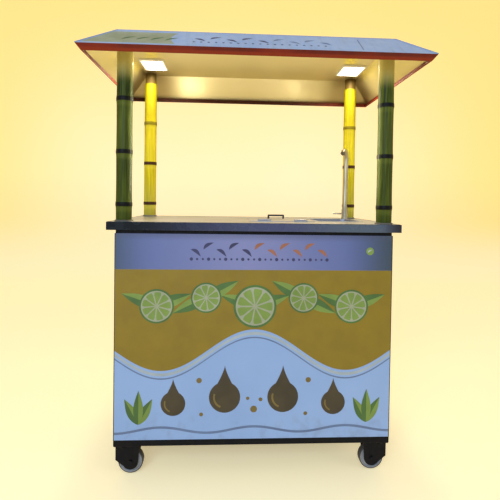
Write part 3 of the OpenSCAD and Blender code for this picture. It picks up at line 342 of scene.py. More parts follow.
def cast_metal(name, colour, shade, rough=0.4):
    finish = Finish(name, rough, 1.0)
    finish.paint(finish.mix(shade, colour, finish.noise(38.0, 0.25, 0.75, 5.0)))
    finish.roughen(finish.noise(90.0), rough - 0.1, rough + 0.15)
    return finish.bump(finish.noise(650.0, 0.3, 0.7, 2.0), 0.0003, 0.35)


def brass_with_painted_shade():
    finish = Finish("post_core_brass", 0.5, 0.2, specular_ior_level=0.1)
    lines = finish.noise(3.0, 0.2, 0.8, 6.0, ALONG_Z)
    bright = finish.mix((196, 174, 118), (222, 204, 150), lines)
    brown = finish.mix((80, 64, 30), (96, 78, 38), lines)
    # painted shade: the cores turn brown towards the rear of the canopy
    finish.paint(finish.mix(bright, brown, finish.fade("Y", -0.1, 0.1)))
    finish.roughen(finish.noise(11.0, 0.25, 0.75, 4.0), 0.45, 0.6)
    return finish.bump(lines, 0.0002, 0.3)


print("five makers ready")

# %% Finishes of the built pieces
BARE_STEEL = (70, 68, 70)
finishes = {
    "frame_paint": worn_paint("base_paint", (10, 9, 17), (6, 5, 11), BARE_STEEL, 0.55, 0.3, 0.008,
                              specular_ior_level=0.16),
    "core_paint": brass_with_painted_shade(),
    "sheet_steel": brushed_metal("worktop_sheet", (184, 182, 190), (160, 158, 166), 0.40, patchy=0.25),
    "hinge_steel": brushed_metal("hinge_steel", (186, 182, 178), (158, 154, 150), 0.42),
    "pull_steel": brushed_metal("pull_steel", (204, 204, 206), (150, 150, 152), 0.2, ALONG_Z),
    "drain_steel": brushed_metal("drain_steel", (190, 188, 184), (120, 118, 116), 0.3),
    "food_steel": brushed_metal("food_steel", (212, 212, 210), (168, 168, 168), 0.22, (3, 3, 220)),
    "bright_steel": brushed_metal("bright_steel", (196, 196, 196), (128, 128, 130), 0.25, (30, 220, 220)),
    "tap_chrome": brushed_metal("tap_satin", (188, 178, 152), (156, 146, 122), 0.46, (120, 120, 2), 0.08),
    "lever_chrome": brushed_metal("tap_lever_chrome", (240, 234, 214), (222, 214, 190), 0.3,
                                  (2, 120, 120), 0.08),
    "bush_bronze": cast_metal("bush_bronze", (190, 142, 74), (130, 88, 40), 0.35),
    "gear_iron": cast_metal("gear_iron", (112, 110, 110), (66, 64, 64), 0.38),
    "mill_paint": worn_paint("mill_paint", (60, 92, 66), (44, 74, 52), (150, 146, 140), 0.38),
    "motor_paint": worn_paint("motor_paint", (52, 82, 112), (36, 62, 90), (146, 144, 142), 0.4),
    "lamp_white": moulded_plastic("lamp_housing", (236, 234, 226), (222, 218, 206), 0.4),
    "can_plastic": moulded_plastic("can_plastic", (196, 206, 212), (170, 184, 194), 0.38),
    "caster_black": worn_paint("caster_black", (13, 11, 18), (8, 7, 12), (70, 68, 68), 0.55, 0.3, 0.008,
                               specular_ior_level=0.16),
    "box_grey": worn_paint("switch_box_grey", (150, 152, 150), (128, 130, 130), (96, 94, 92), 0.45),
    "control_black": moulded_plastic("control_black", (26, 26, 28), (16, 16, 18), 0.4),
    "handle_plastic": moulded_plastic("hatch_grip", (46, 40, 38), (28, 25, 24), 0.35),
    "stop_red": moulded_plastic("stop_red", (176, 28, 24), (140, 18, 18), 0.3, coat_weight=0.3),
}
print(len(finishes), "plain finishes made")

# %% [markdown]
# ## The printed cabinet skin
# The cabinet is clad with printed vinyl on flat sheet. The front has a lilac header strip
# over a pale blue ground, with painted shade towards both ends of the header and a painted
# shadow along its top, under the worktop. We could paint an image for it, but a few bands
# along X and Z do it with no picture at all. Vinyl is never quite flat, so a slow bump lets
# the light ripple, and a fine one gives the grain of the laminate.

# %% Cabinet vinyl
HEADER_FOOT = 0.850


def laminate(finish):
    finish.bump(finish.noise(9.0, 0.2, 0.8, 1.0), 0.004, 0.12)
    return finish.bump(finish.noise(900.0, 0.3, 0.7, 1.0), 0.0002, 0.08)


def cabinet_vinyl():
    finish = Finish("cabinet_vinyl", 0.42, coat_weight=0.12, coat_roughness=0.3)
    ground = finish.mix((128, 156, 202), (137, 164, 210), finish.noise(2.2, 0.3, 0.7))
    # painted shade: the header is lighter through the middle and darkens towards both ends
    lilac = finish.mix((80, 94, 148), (116, 120, 167), finish.band("X", -0.26, 0.20, 0.3))
    shaded_ends = finish.math("SUBTRACT", 1.0, finish.band("X", -0.53, 0.47, 0.13))
    lilac = finish.mix(lilac, (36, 56, 68), finish.times(shaded_ends, 0.95))
    # painted shadow: the top of the header darkens under the worktop's overhang
    lilac = finish.mix(lilac, (62, 66, 92), finish.fade("Z", 0.962, 0.994, (0.0, 0.45)))
    header = finish.band("Z", HEADER_FOOT, 1.2, 0.0008)
    skin = finish.mix(ground, lilac, header)
    splash = finish.fade("Z", 0.32, 0.15)
    dirt = finish.times(splash, finish.noise(24.0, 0.45, 0.75, 5.0))
    skin = finish.mix(skin, (84, 84, 84), finish.times(dirt, 0.22))
    finish.paint(skin)
    finish.roughen(finish.noise(18.0, 0.3, 0.7), 0.36, 0.5)
    return laminate(finish)


def edge_band_gloss():
    finish = Finish("edge_band_gloss", 0.34, specular_ior_level=0.2)
    # painted reflection and shade: the gloss band is lighter and bluer through the middle, near black at
    # its left end and darker at its right end
    body = finish.mix((12, 20, 30), (68, 72, 102), finish.fade("X", -0.52, 0.06))
    body = finish.mix(body, (78, 88, 104), finish.fade("X", 0.1, 0.4))
    body = finish.mix(body, (44, 44, 54), finish.fade("X", 0.50, 0.59))
    nick = finish.chipped(0.002, 90.0, 0.5, 0.62, 4.0)
    finish.paint(finish.mix(body, (120, 118, 122), finish.times(nick, 0.6)))
    finish.roughen(finish.noise(22.0), 0.22, 0.36)
    return finish.bump(finish.noise(5.0, 0.2, 0.8, 1.0, (1, 1, 3)), 0.003, 0.15)


finishes["panel_paint"] = cabinet_vinyl()
finishes["edge_band"] = edge_band_gloss()
print("vinyl and edge band made")

# %% [markdown]
# ## The canopy's skins
# Outside, the canopy is pale composite sheet. Inside it is the same sheet with a gold face,
# satin enough to throw the lamps back as soft glares, with faint clouds along the way the
# sheet was rolled and painted shade in the rear corners. A gold picture would freeze those
# glares, so the lining is real metal in the shader and the glare is whatever the lights make
# of it. The red eave has painted shade on its inner rear face, and each lens dims towards its
# edge, as a diffuser does over one lamp in the middle.

# %% Roof sheet and gold lining
def roof_sheet():
    finish = Finish("roof_sheet", 0.36, coat_weight=0.25, coat_roughness=0.25)
    ground = finish.mix((146, 166, 200), (160, 178, 206), finish.noise(3.0, 0.3, 0.7))
    streak = finish.noise(5.0, 0.5, 0.8, 4.0, (9, 1, 1))
    ground = finish.mix(ground, (120, 124, 130), finish.times(streak, 0.3))
    finish.paint(ground)
    finish.roughen(finish.noise(26.0), 0.3, 0.46)
    return finish.bump(finish.noise(7.0, 0.2, 0.8, 1.0), 0.003, 0.1)


def gold_lining():
    finish = Finish("gold_lining", 0.36, 0.85)
    cloud = finish.noise(2.0, 0.25, 0.75, 1.0, (2, 0.3, 0.3))
    sheet = finish.mix((214, 200, 146), (222, 209, 158), cloud)
    stain = finish.noise(1.6, 0.2, 1.0, 2.0, (2.4, 0.4, 0.4))
    sheet = finish.mix(sheet, (170, 156, 112), finish.times(stain, 0.2))
    # painted shade: the lining darkens to brown in both rear corners
    corner = finish.ramp(finish.math("ABSOLUTE", finish.along("X"), 0.0), 0.36, 0.50)
    corner = finish.times(corner, finish.fade("Y", 0.16, 0.30))
    sheet = finish.mix(sheet, (132, 108, 62), finish.times(corner, 0.7))
    finish.paint(sheet)
    satin = finish.noise(1.5, 0.2, 0.8, 2.0, (4, 0.5, 0.5))
    finish.roughen(satin, 0.33, 0.41)
    return finish.bump(finish.noise(900.0, 0.3, 0.7, 1.0), 0.0001, 0.05)


finishes["roof_paint"] = roof_sheet()
finishes["lining_gold"] = gold_lining()
print("roof sheet and lining made")

# %% Eave paint and lamp lens
def eave_red():
    finish = Finish("eave_red", 0.6, specular_ior_level=0.22)
    red = finish.mix((84, 20, 10), (116, 30, 12), finish.noise(6.0, 0.25, 0.75))
    red = finish.mix((120, 36, 10), red, finish.fade("Z", 1.697, 1.703))
    # painted shade: the inner face of the rear eave turns dark brown, less at its right end
    facing = finish.add("SeparateXYZ")
    finish.plug(facing.inputs[0], finish.add("NewGeometry").outputs["Normal"])
    rear = finish.fade("Y", 0.28, 0.34)
    inner = finish.times(rear, finish.ramp(facing.outputs["Y"], 0.2, -0.1))
    shade = finish.times(inner, finish.fade("X", 0.6, 0.2, (0.4, 0.9)))
    red = finish.mix(red, (46, 22, 14), shade)
    scuff = finish.chipped(0.003, 150.0, 0.48, 0.6, 4.0)
    finish.paint(finish.mix(red, (60, 34, 30), finish.times(scuff, 0.5)))
    finish.roughen(finish.noise(30.0), 0.54, 0.68)
    return finish.bump(finish.noise(420.0, 0.3, 0.7, 1.0), 0.0004, 0.2)


def lit_lens():
    finish = Finish("lit_lens", 0.35)
    prism = finish.noise(120.0, 0.3, 0.7, 1.0)
    glow = finish.mix((255, 246, 224), (255, 250, 238), prism)
    finish.paint(glow)
    dim_rim, half_deep = 0.016, LENS_HIGH.y - LENS_Y
    off_x = finish.math("SUBTRACT", finish.math("ABSOLUTE", finish.along("X"), 0.0), LENS_X)
    off_y = finish.math("SUBTRACT", finish.along("Y"), LENS_Y)
    rim_x = finish.ramp(finish.math("ABSOLUTE", off_x, 0.0), LENS_HALF, LENS_HALF - dim_rim)
    rim_y = finish.ramp(finish.math("ABSOLUTE", off_y, 0.0), half_deep, half_deep - dim_rim)
    lit = finish.mix((58, 48, 34), glow, finish.times(rim_x, rim_y))
    finish.set("Emission Color", lit)
    finish.set("Emission Strength", 22.0)
    return finish.bump(prism, 0.0006, 0.4)


finishes["trim_red"] = eave_red()
finishes["lamp_lens"] = lit_lens()
print("eave and lens made")

# %% [markdown]
# ## Zinc on the bin
# The bagasse bin is folded from galvanised sheet. Zinc freezes in flat crystals, called
# spangle, and each catches the light its own way. A Voronoi texture gives such cells, and
# its random cell colour drives both the grey and the roughness.

# %% Galvanised sheet
def zinc_sheet():
    finish = Finish("zinc_sheet", 0.4, 1.0)
    cells = finish.add("TexVoronoi")
    cells.inputs["Scale"].default_value = 70.0
    finish.plug(cells.inputs["Vector"], finish.place)
    grey = finish.add("RGBToBW")
    finish.plug(grey.inputs[0], cells.outputs["Color"])
    finish.paint(finish.mix((150, 154, 158), (196, 198, 200), grey.outputs[0]))
    finish.roughen(grey.outputs[0], 0.28, 0.52)
    return finish.bump(finish.noise(300.0), 0.0003, 0.2)


finishes["bin_steel"] = zinc_sheet()
print("zinc made")

# %% [markdown]
# ## Dress the built pieces
# The record says which finish slot each piece belongs to, so the list below only names the
# slots. Flat sheet and square tube also get a narrow bevel: real folded edges are never
# perfectly sharp, and it is the thin highlight on them that makes a box look made. The
# mesh comes with split corners, so a Weld goes in front of the Bevel.

# %% Give each piece its finish
SLOT_OF = {
    "frame_paint": "base_frame cabinet_frame floor_shelf motor_stand",
    "panel_paint": "front_panel side_panels rear_panel door_left door_right",
    "sheet_steel": "countertop hatch_lid sink_bowl",
    "edge_band": "counter_edge",
    "hinge_steel": "butt_hinges",
    "pull_steel": "door_pull_left door_pull_right",
    "handle_plastic": "hatch_handle",
    "tap_chrome": "tap_base tap_neck",
    "lever_chrome": "tap_lever",
    "drain_steel": "sink_drain",
    "can_plastic": "water_cans",
    "core_paint": "post_cores",
    "roof_paint": "roof_shell",
    "lining_gold": "ceiling_lining",
    "trim_red": "eave_trim",
    "lamp_white": "lamp_housings",
    "lamp_lens": "lamp_lenses",
    "caster_black": "caster_plates caster_fork_fl caster_fork_fr caster_fork_rl caster_fork_rr",
    "mill_paint": "mill_plates",
    "bright_steel": "mill_tie_rods top_roller feed_roller discharge_roller",
    "bush_bronze": "roller_bushes",
    "gear_iron": "top_gear feed_gear discharge_gear drive_pinion",
    "motor_paint": "gear_motor",
    "food_steel": "turn_plate juice_tray juice_strainer juice_pot feed_chute",
    "bin_steel": "bagasse_bin",
    "box_grey": "switch_box",
    "control_black": "direction_knob power_inlet",
    "stop_red": "stop_button",
}
dressed = 0
for slot, words in SLOT_OF.items():
    for name in words.split():
        nodes[name].data.materials.clear()
        nodes[name].data.materials.append(finishes[slot].material)
        dressed += 1
print("dressed", dressed, "pieces")

# %% Soften the edges of sheet and tube
SOFT_EDGED = {
    0.0010: "counter_edge base_frame eave_trim lamp_housings switch_box caster_plates floor_shelf "
            "mill_plates",
    0.0006: "front_panel side_panels rear_panel door_left door_right cabinet_frame motor_stand "
            "bagasse_bin",
}
WELD_REACH, BEVEL_FROM = 0.00002, math.radians(40)
for width, words in SOFT_EDGED.items():
    for name in words.split():
        weld = nodes[name].modifiers.new("join_corners", "WELD")
        weld.merge_threshold = WELD_REACH
        edge = nodes[name].modifiers.new("soft_edge", "BEVEL")
        edge.width, edge.segments, edge.limit_method = width, 2, "ANGLE"
        edge.angle_limit = BEVEL_FROM
        edge.harden_normals = False
print("edges softened on", sum(len(w.split()) for w in SOFT_EDGED.values()), "pieces")

# %% [markdown]
# ## Small makers for added pieces
# The rest of the lesson adds pieces. Three makers are enough: a lathe that turns a profile
# round an axis, a slab that gives an outline a thickness, and a last step that turns the
# mesh into an object, gives it its finish and says which body of the cart it rides on.

# %% Lathe, slab and finish step
AXES = {"X": (Vector((0, 1, 0)), Vector((0, 0, 1)), Vector((1, 0, 0))),
        "Y": (Vector((0, 0, 1)), Vector((1, 0, 0)), Vector((0, 1, 0))),
        "Z": (Vector((1, 0, 0)), Vector((0, 1, 0)), Vector((0, 0, 1)))}
SHARP_FROM = math.radians(35)


def lathe(shape, profile, centre, axis="Z", steps=48, ring=False, flip=1):
    """Turns (radius, height) points; a ring profile closes on itself, others end on the axis."""
    across, up, out = AXES[axis]
    rings = []
    for radius, height in profile:
        count = steps if radius > 1e-7 else 1
        rings.append([shape.verts.new(Vector(centre) + flip * height * out + radius * (
            math.cos(math.tau * k / steps) * across + math.sin(math.tau * k / steps) * up))
            for k in range(count)])
    for a, b in zip(rings, rings[1:] + (rings[:1] if ring else [])):
        for k in range(steps):
            j = k + 1
            corners = [a[k % len(a)], a[j % len(a)], b[j % len(b)], b[k % len(b)]]
            shape.faces.new(list(dict.fromkeys(corners)))


def slab(shape, outline, put, low, high):
    """Closes an outline into a thin slab; put turns (u, v, height) into a place on the cart."""
    back = [shape.verts.new(put(u, v, low)) for u, v in outline]
    face = [shape.verts.new(put(u, v, high)) for u, v in outline]
    shape.faces.new(face)
    shape.faces.new(back[::-1])
    for k in range(len(outline)):
        j = (k + 1) % len(outline)
        shape.faces.new((back[k], back[j], face[j], face[k]))


def made(name, shape, finish, body="cart"):
    bmesh.ops.recalc_face_normals(shape, faces=shape.faces)
    mesh = bpy.data.meshes.new(name)
    shape.to_mesh(mesh)
    shape.free()
    mesh.polygons.foreach_set("use_smooth", [True] * len(mesh.polygons))
    mesh.set_sharp_from_angle(angle=SHARP_FROM)
    piece = bpy.data.objects.new(name, mesh)
    bpy.context.scene.collection.objects.link(piece)
    mesh.materials.append(finish.material)
    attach(piece, body)
    return piece


print("makers ready")

# %% [markdown]
# ## Cane posts
# The four posts look like stalks of sugarcane: long joints, slightly hollow between dark
# rings, with a swollen band at each ring. The built sleeves are plain tubes with collars.
# A cane is round about one axis, so a lathe profile gives every swelling exactly, and the
# bore stays open for the metal core inside. Front stalks are green, rear ones ripe yellow.

# %% Cane stalks
CANE_LOW, CANE_HIGH = (corner.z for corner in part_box("front_sleeves"))
CANE_R, CANE_BORE, END_ROUND = 0.0320, 0.0290, 0.0012
SWELL, SWELL_REACH, HOLLOW, RING_LIP, RING_HALF = 0.0014, 0.012, 0.0005, 0.0006, 0.0086
RING_STEPS = (0.0096, 0.0084, 0.0070, 0.001)
FIRST_RING, JOINT = 0.070, 0.214
RINGS = [CANE_LOW + FIRST_RING + JOINT * k for k in range(3)]


def cane_radius(z):
    gap = min(abs(z - r) for r in RINGS)
    swell = math.exp(-(gap / SWELL_REACH) ** 2)
    hollow = 0.5 - 0.5 * math.cos(math.pi * min(gap / (JOINT / 2), 1.0))
    return CANE_R + SWELL * swell - HOLLOW * hollow


def cane_profile():
    heights = [CANE_LOW + (CANE_HIGH - CANE_LOW) * k / 60 for k in range(61)]
    for r in RINGS:
        heights += [r + side * step for side in (-1, 1) for step in RING_STEPS]
    heights = sorted(set(round(z, 5) for z in heights))
    outer = []
    for z in heights:
        near = min(abs(z - r) for r in RINGS)
        lip = RING_LIP if near < RING_HALF else 0.0
        outer.append((cane_radius(z) + lip, z))
    for end in (0, -1):
        outer[end] = (outer[end][0] - END_ROUND, outer[end][1])
    return outer + [(CANE_BORE, CANE_HIGH), (CANE_BORE, CANE_LOW)]


def cane_bark(name, light, dark, bloom, ring, top, foot, fade=(1.60, 1.70)):
    finish = Finish(name, 0.5, specular_ior_level=0.14)
    streaks = finish.noise(5.0, 0.3, 0.72, 5.0, (34, 34, 1.3))
    bark = finish.mix(dark, light, streaks)
    patch = finish.noise(4.0, 0.4, 0.75, 3.0, (2, 2, 1))
    bark = finish.mix(bark, dark, finish.times(patch, 0.55))
    # painted shade: the stalks turn duller towards their foot, farther from the lamps
    bark = finish.mix(bark, foot, finish.fade("Z", 1.30, 1.08, (0.0, 0.6)))
    bark = finish.mix(bark, bloom, finish.times(finish.band("Z", 1.30, 1.52, 0.06), 0.22))
    for r in RINGS:
        wax = finish.band("Z", r - 0.030, r - 0.009, 0.007)
        bark = finish.mix(bark, bloom, finish.times(wax, 0.3))
    for r in RINGS:
        bark = finish.mix(bark, ring, finish.band("Z", r - RING_HALF, r + RING_HALF, 0.0012))
    # painted light on the green stalks, whose tops turn pale tan near the lamps; painted shade on the
    # yellow stalks, whose tops are darkened against the lamps' glare
    bark = finish.mix(bark, top, finish.times(finish.fade("Z", *fade), 0.85))
    finish.paint(bark)
    finish.roughen(streaks, 0.42, 0.6)
    return finish.bump(streaks, 0.0006, 0.3)


finishes["cane_green"] = cane_bark("green_cane", (80, 89, 15), (22, 36, 5), (98, 106, 38), (8, 7, 6),
                                   (186, 170, 98), (60, 70, 14))
finishes["cane_yellow"] = cane_bark("ripe_cane", (214, 194, 14), (172, 156, 12), (210, 194, 62),
                                    (62, 36, 16), (126, 118, 6), (168, 156, 66), (1.36, 1.66))
for slot, side, node in (("cane_green", -1, "front_sleeves"), ("cane_yellow", 1, "rear_sleeves")):
    shape = bmesh.new()
    for x in (-POST_X, POST_X):
        lathe(shape, cane_profile(), (x, side * POST_Y, 0), steps=56, ring=True)
    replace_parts(made(slot + "_stalks", shape, finishes[slot]), node)
print("cane stalks from", round(CANE_LOW, 3), "to", round(CANE_HIGH, 3))

# %% [markdown]
# ## Caster wheels
# Each caster has a dark rubber tyre on a grey moulded core. One lathe profile could do it,
# but tyre and core are two materials on the real wheel, so they are two turned pieces: a
# tyre with rounded shoulders and a fine groove, and a core with a dished web and a hub.

# %% Tyres and cores
finishes["wheel_grey"] = moulded_plastic("tyre_grey", (150, 151, 156), (122, 123, 130), 0.5)
tread_dark = moulded_plastic("tread_rim", (70, 67, 64), (48, 46, 45), 0.6)
SHOULDER, GROOVE, GROOVE_LIP, GROOVE_FLOOR, BEAD_INSET = 0.004, 0.0008, 0.004, 0.0015, 0.001
WHEEL_HALF, TYRE_SEAT, CORE_SEAT, AXLE_BORE = 0.015, 0.0462, 0.0465, 0.0051


def tyre_profile(half, radius, seat):
    shoulder = [(radius - SHOULDER + SHOULDER * math.sin(a), half - SHOULDER + SHOULDER * math.cos(a))
                for a in (math.pi / 2 * k / 6 for k in range(7))]
    crown = [(radius, GROOVE_LIP), (radius - GROOVE, GROOVE_FLOOR), (radius - GROOVE, -GROOVE_FLOOR),
             (radius, -GROOVE_LIP)]
    other = [(r, -h) for r, h in reversed(shoulder)]
    foot = half - BEAD_INSET
    return [(seat, foot)] + shoulder + crown + other + [(seat, -foot)]


def core_profile(half, seat, bore):
    side = [(bore, half + 0.0024), (0.0150, half + 0.0024), (0.0168, half + 0.0006),
            (0.0172, half - 0.0045), (0.0230, half - 0.0060), (seat - 0.006, half - 0.0050),
            (seat - 0.0035, half - 0.0012), (seat, half - 0.0012)]
    return side + [(r, -h) for r, h in reversed(side)]


for corner in ("fl", "fr", "rl", "rr"):
    wheel = "caster_wheel_" + corner
    low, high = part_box(wheel)
    middle = (low + high) / 2
    radius = (high.z - low.z) / 2
    shape = bmesh.new()
    lathe(shape, tyre_profile(WHEEL_HALF, radius, TYRE_SEAT), middle, "Y", 64, True)
    tyre = made("tyre_" + corner, shape, tread_dark, wheel)
    shape = bmesh.new()
    lathe(shape, core_profile(WHEEL_HALF, CORE_SEAT, AXLE_BORE), middle, "Y", 48, True)
    made("wheel_core_" + corner, shape, finishes["wheel_grey"], wheel)
    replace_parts(tyre, wheel)
print("tyre radius", round(radius, 4), "m")

# %% [markdown]
# ## Inks
# Print on vinyl is a thin film of ink. It could be a picture on the panel, but flat shapes
# cut from film keep every edge sharp at any distance and can be recoloured one ink at a
# time. Each ink is one material with a slight mottling, as large prints have.

# %% Ink maker
def ink(name, colour, shade, rough=0.4):
    finish = Finish("ink_" + name, rough, coat_weight=0.12, coat_roughness=0.3)
    finish.paint(finish.mix(shade, colour, finish.noise(11.0, 0.25, 0.75, 4.0)))
    finish.roughen(finish.noise(26.0), rough - 0.05, rough + 0.1)
    return laminate(finish)


INKS = {
    "ochre": ((129, 105, 0), (120, 97, 0)),
    "cream": ((158, 168, 178), (142, 152, 160)),
    "leaf": ((66, 104, 44), (50, 84, 38)),
    "lime": ((116, 140, 62), (98, 122, 50)),
    "pith": ((150, 154, 132), (134, 138, 112)),
    "juice": ((58, 46, 28), (42, 33, 20)),
    "amber": ((112, 92, 40), (94, 76, 32)),
    "slate": ((92, 112, 148), (82, 100, 136)),
    "navy": ((44, 44, 92), (34, 34, 76)),
    "orange": ((150, 94, 70), (136, 80, 58)),
    "olive_and_shade": ((158, 158, 124), (142, 142, 104)),
    "strip": ((24, 23, 28), (16, 16, 20)),
}
inks = {name: ink(name, *pair) for name, pair in INKS.items()}
print(len(inks), "inks mixed")

# %% [markdown]
# ## Outlines for the print
# A print designer draws with a few stencils: a disc, a leaf, a drop with its glint, a wedge
# of fruit and a wave. They could be curves, but a list of points is all that a slab of film
# needs. Each function returns one outline, in metres on the sheet, so the same stencils serve
# the front and the roof.

# %% Disc, leaf and drop
def disc(u, v, radius, steps=40):
    return [(u + radius * math.cos(math.tau * k / steps), v + radius * math.sin(math.tau * k / steps))
            for k in range(steps)]


def swung(points, u, v, degrees):
    c, s = math.cos(math.radians(degrees)), math.sin(math.radians(degrees))
    return [(u + c * x - s * y, v + s * x + c * y) for x, y in points]


def leaf(u, v, length, width, degrees, share=(0.0, 1.0)):
    """A pointed leaf from its stalk at (u, v); share picks how much of each half is drawn."""
    steps = 18

    def half(wide, first, last):
        return [(length * k / steps, wide * math.sin(math.pi * (k / steps) ** 0.8))
                for k in range(first, last)]

    top, low = half(width * share[1], 0, steps + 1), half(-width * share[0], 1, steps)
    return swung(low + top[::-1], u, v, degrees)


def drop(u, v, radius):
    start = math.radians(28)
    points = [(radius * math.sin(a), -radius * math.cos(a))
              for a in (-math.pi + start + (math.tau - 2 * start) * k / 36 for k in range(37))]
    x, y = points[-1]
    tip = 2.05 * radius
    rise = [(x * (1 - t) ** 1.35, y + (tip - y) * t) for t in (k / 8 for k in range(1, 9))]
    fall = [(-a, b) for a, b in reversed(rise[:-1])]
    return [(u + a, v + b) for a, b in points + rise + fall]


def glint(u, v, radius):
    """The curved highlight on the left of a drop."""
    near, far = 0.62 * radius, 0.74 * radius
    out = [(near * math.sin(a), -near * math.cos(a)) for a in (-1.9 + 1.5 * k / 12 for k in range(13))]
    back = [(far * math.sin(a), -far * math.cos(a)) for a in (-0.4 - 1.5 * k / 12 for k in range(13))]
    return [(u + x, v + y) for x, y in out + back]


print("round stencils ready")

# %% Fruit wedge and waves
def wedge(u, v, inner, outer, middle, span):
    """One segment of a fruit slice, with its corners drawn in."""
    half = math.radians(span / 2)
    m = math.radians(middle)
    arc = [(outer * math.cos(m + half * t), outer * math.sin(m + half * t))
           for t in (k / 5 for k in range(-4, 5))]
    waist = 0.82 * outer
    sides = [(waist * math.cos(m + half), waist * math.sin(m + half)),
             (inner * math.cos(m), inner * math.sin(m)),
             (waist * math.cos(m - half), waist * math.sin(m - half))]
    return [(u + x, v + y) for x, y in arc + sides]


def wave_line(low, high, rise, length, base, steps=72):
    places = [low + (high - low) * k / steps for k in range(steps + 1)]
    return [(u, base + rise * math.cos(math.tau * u / length)) for u in places]


def ribbon(line, drop_by, thick):
    return [(u, v - drop_by) for u, v in line] + [(u, v - drop_by - thick) for u, v in reversed(line)]


print("wedge and waves ready")

# %% [markdown]
# ## Print on the front
# The front carries one big print: an ochre field under the header with a waving lower edge,
# a row of fruit slices and leaves on it, and dark drops of juice over the pale ground. The
# layers are a fraction of a millimetre apart, in the order a printer lays them down, and
# every slab starts just inside the panel, so nothing floats.

# %% Print helper
low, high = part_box("front_panel")
FACE, LEFT, RIGHT = low.y, low.x, high.x
LAYER, SUNK, MARGIN = 0.00014, 0.0001, 0.003


def on_front(u, v, height):
    return Vector((u, FACE - height, v))


class Print:
    """Collects outlines by ink, then makes one piece of each."""

    def __init__(self, name, put, slot):
        self.name, self.put, self.slot, self.shapes = name, put, slot, {}

    def lay(self, colour, outline, layer):
        if colour not in self.shapes:
            self.shapes[colour] = bmesh.new()
        slab(self.shapes[colour], outline, self.put, -SUNK, LAYER * layer)

    def done(self):
        for colour, shape in self.shapes.items():
            made(self.name + "_" + colour, shape, inks[colour])
        print(self.name, "laid in", len(self.shapes), "inks")


print("front panel from", round(LEFT, 3), "to", round(RIGHT, 3))

# %% Ochre field and waves
front = Print("front_print", on_front, "panel_paint")
near, far = LEFT + MARGIN, RIGHT - MARGIN
field = wave_line(near, far, 0.085, 0.76, 0.520)
front.lay("ochre", [(far, HEADER_FOOT), (near, HEADER_FOOT)] + field, 1)
front.lay("cream", ribbon(field, 0.010, 0.012), 1)
front.lay("slate", ribbon(field, 0.030, 0.006), 1)
front.lay("slate", ribbon(wave_line(near, far, 0.012, 0.38, 0.196), 0.0, 0.010), 1)
print("field laid in", len(front.shapes), "inks")

# %% Fruit, leaves and drops
def fruit_slice(u, v, radius, turned):
    front.lay("leaf", disc(u, v, radius), 8)
    front.lay("pith", disc(u, v, radius * 0.90), 9)
    for k in range(9):
        front.lay("lime", wedge(u, v, radius * 0.10, radius * 0.82, turned + 40 * k, 33), 10)


def two_tone_leaf(u, v, length, width, degrees, layer):
    front.lay("leaf", leaf(u, v, length, width, degrees, (1.0, 1.0)), layer)
    front.lay("lime", leaf(u, v, length, width, degrees, (1.0, -0.04)), layer + 0.5)


SLICES = ((-0.40, 0.70, 0.070, 5, (20, 160)), (-0.20, 0.735, 0.062, 18, (28, 205)),
          (0.0, 0.70, 0.088, 0, (18, 162)), (0.20, 0.735, 0.062, 27, (152, -25)),
          (0.40, 0.70, 0.070, 12, (20, 160)))
DROPS = ((-0.33, 0.300, 0.050), (-0.12, 0.325, 0.064), (0.12, 0.325, 0.064), (0.33, 0.300, 0.050))
DROPLETS = ((-0.225, 0.395, 0.011), (0.225, 0.395, 0.011), (0.0, 0.275, 0.014), (-0.025, 0.32, 0.007),
            (0.028, 0.315, 0.008), (-0.215, 0.255, 0.008), (0.215, 0.255, 0.008))
leaves = [(u, v, degrees) for u, v, _, _, pair in SLICES for degrees in pair]
for k, (u, v, degrees) in enumerate(leaves):
    two_tone_leaf(u, v, 0.150, 0.024, degrees, 2 + k % 5)
for u, v, radius, turned, _ in SLICES:
    fruit_slice(u, v, radius, turned)
for u, v, radius in DROPS:
    front.lay("juice", drop(u, v, radius), 2)
    front.lay("amber", glint(u, v, radius), 3)
for u, v, radius in DROPLETS:
    front.lay("amber", disc(u, v, radius, 24), 2)
for side in (-1, 1):
    for layer, degrees, length in ((2, 62, 0.12), (3, 118, 0.12), (4, 90, 0.14)):
        two_tone_leaf(side * 0.470, 0.215, length, 0.020, degrees, layer)
print("front slices and drops drawn")

# %% Header ornaments and corner strips
for k in range(11):
    u = -0.265 + 0.052 * k
    front.lay("navy" if k < 5 else "orange", leaf(u, 0.932, 0.050, 0.014, 35 if k % 2 else -35), 2)
for k in range(25):
    front.lay("navy", disc(-0.262 + 0.0232 * k, 0.893, 0.0045 if k % 3 else 0.0068, 16), 2)
front.lay("lime", disc(0.475, 0.930, 0.016, 28), 2)
front.lay("cream", leaf(0.466, 0.924, 0.022, 0.006, 35), 3)
STRIP_LOW, STRIP_HIGH = 0.1525, 0.9945
for x in (LEFT, RIGHT - MARGIN):
    corners = [(x, STRIP_LOW), (x + MARGIN, STRIP_LOW), (x + MARGIN, STRIP_HIGH), (x, STRIP_HIGH)]
    front.lay("strip", corners, 3)
front.done()

# %% [markdown]
# ## Print on the roof
# The front slope of the canopy carries a smaller print. We could work out each point in its
# tilted place, but the slope is a plane, so its outlines are drawn flat, with v running up
# the slope, and the put function tilts them all alike.

# %% Roof print
EAVE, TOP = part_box("roof_shell")
RUN, RISE = 0.124, 0.101
SLANT = math.hypot(RUN, RISE)
ROOF_LOW = TOP.z - RISE


def on_slope(u, v, height):
    share = v / SLANT
    return Vector((u, EAVE.y + RUN * share - height * RISE / SLANT,
                   ROOF_LOW + RISE * share + height * RUN / SLANT))


roof = Print("roof_print", on_slope, "roof_paint")
curve = [(-0.325 - 0.02 * math.sin(math.pi * k / 12), 0.138 - 0.124 * k / 12) for k in range(1, 13)]
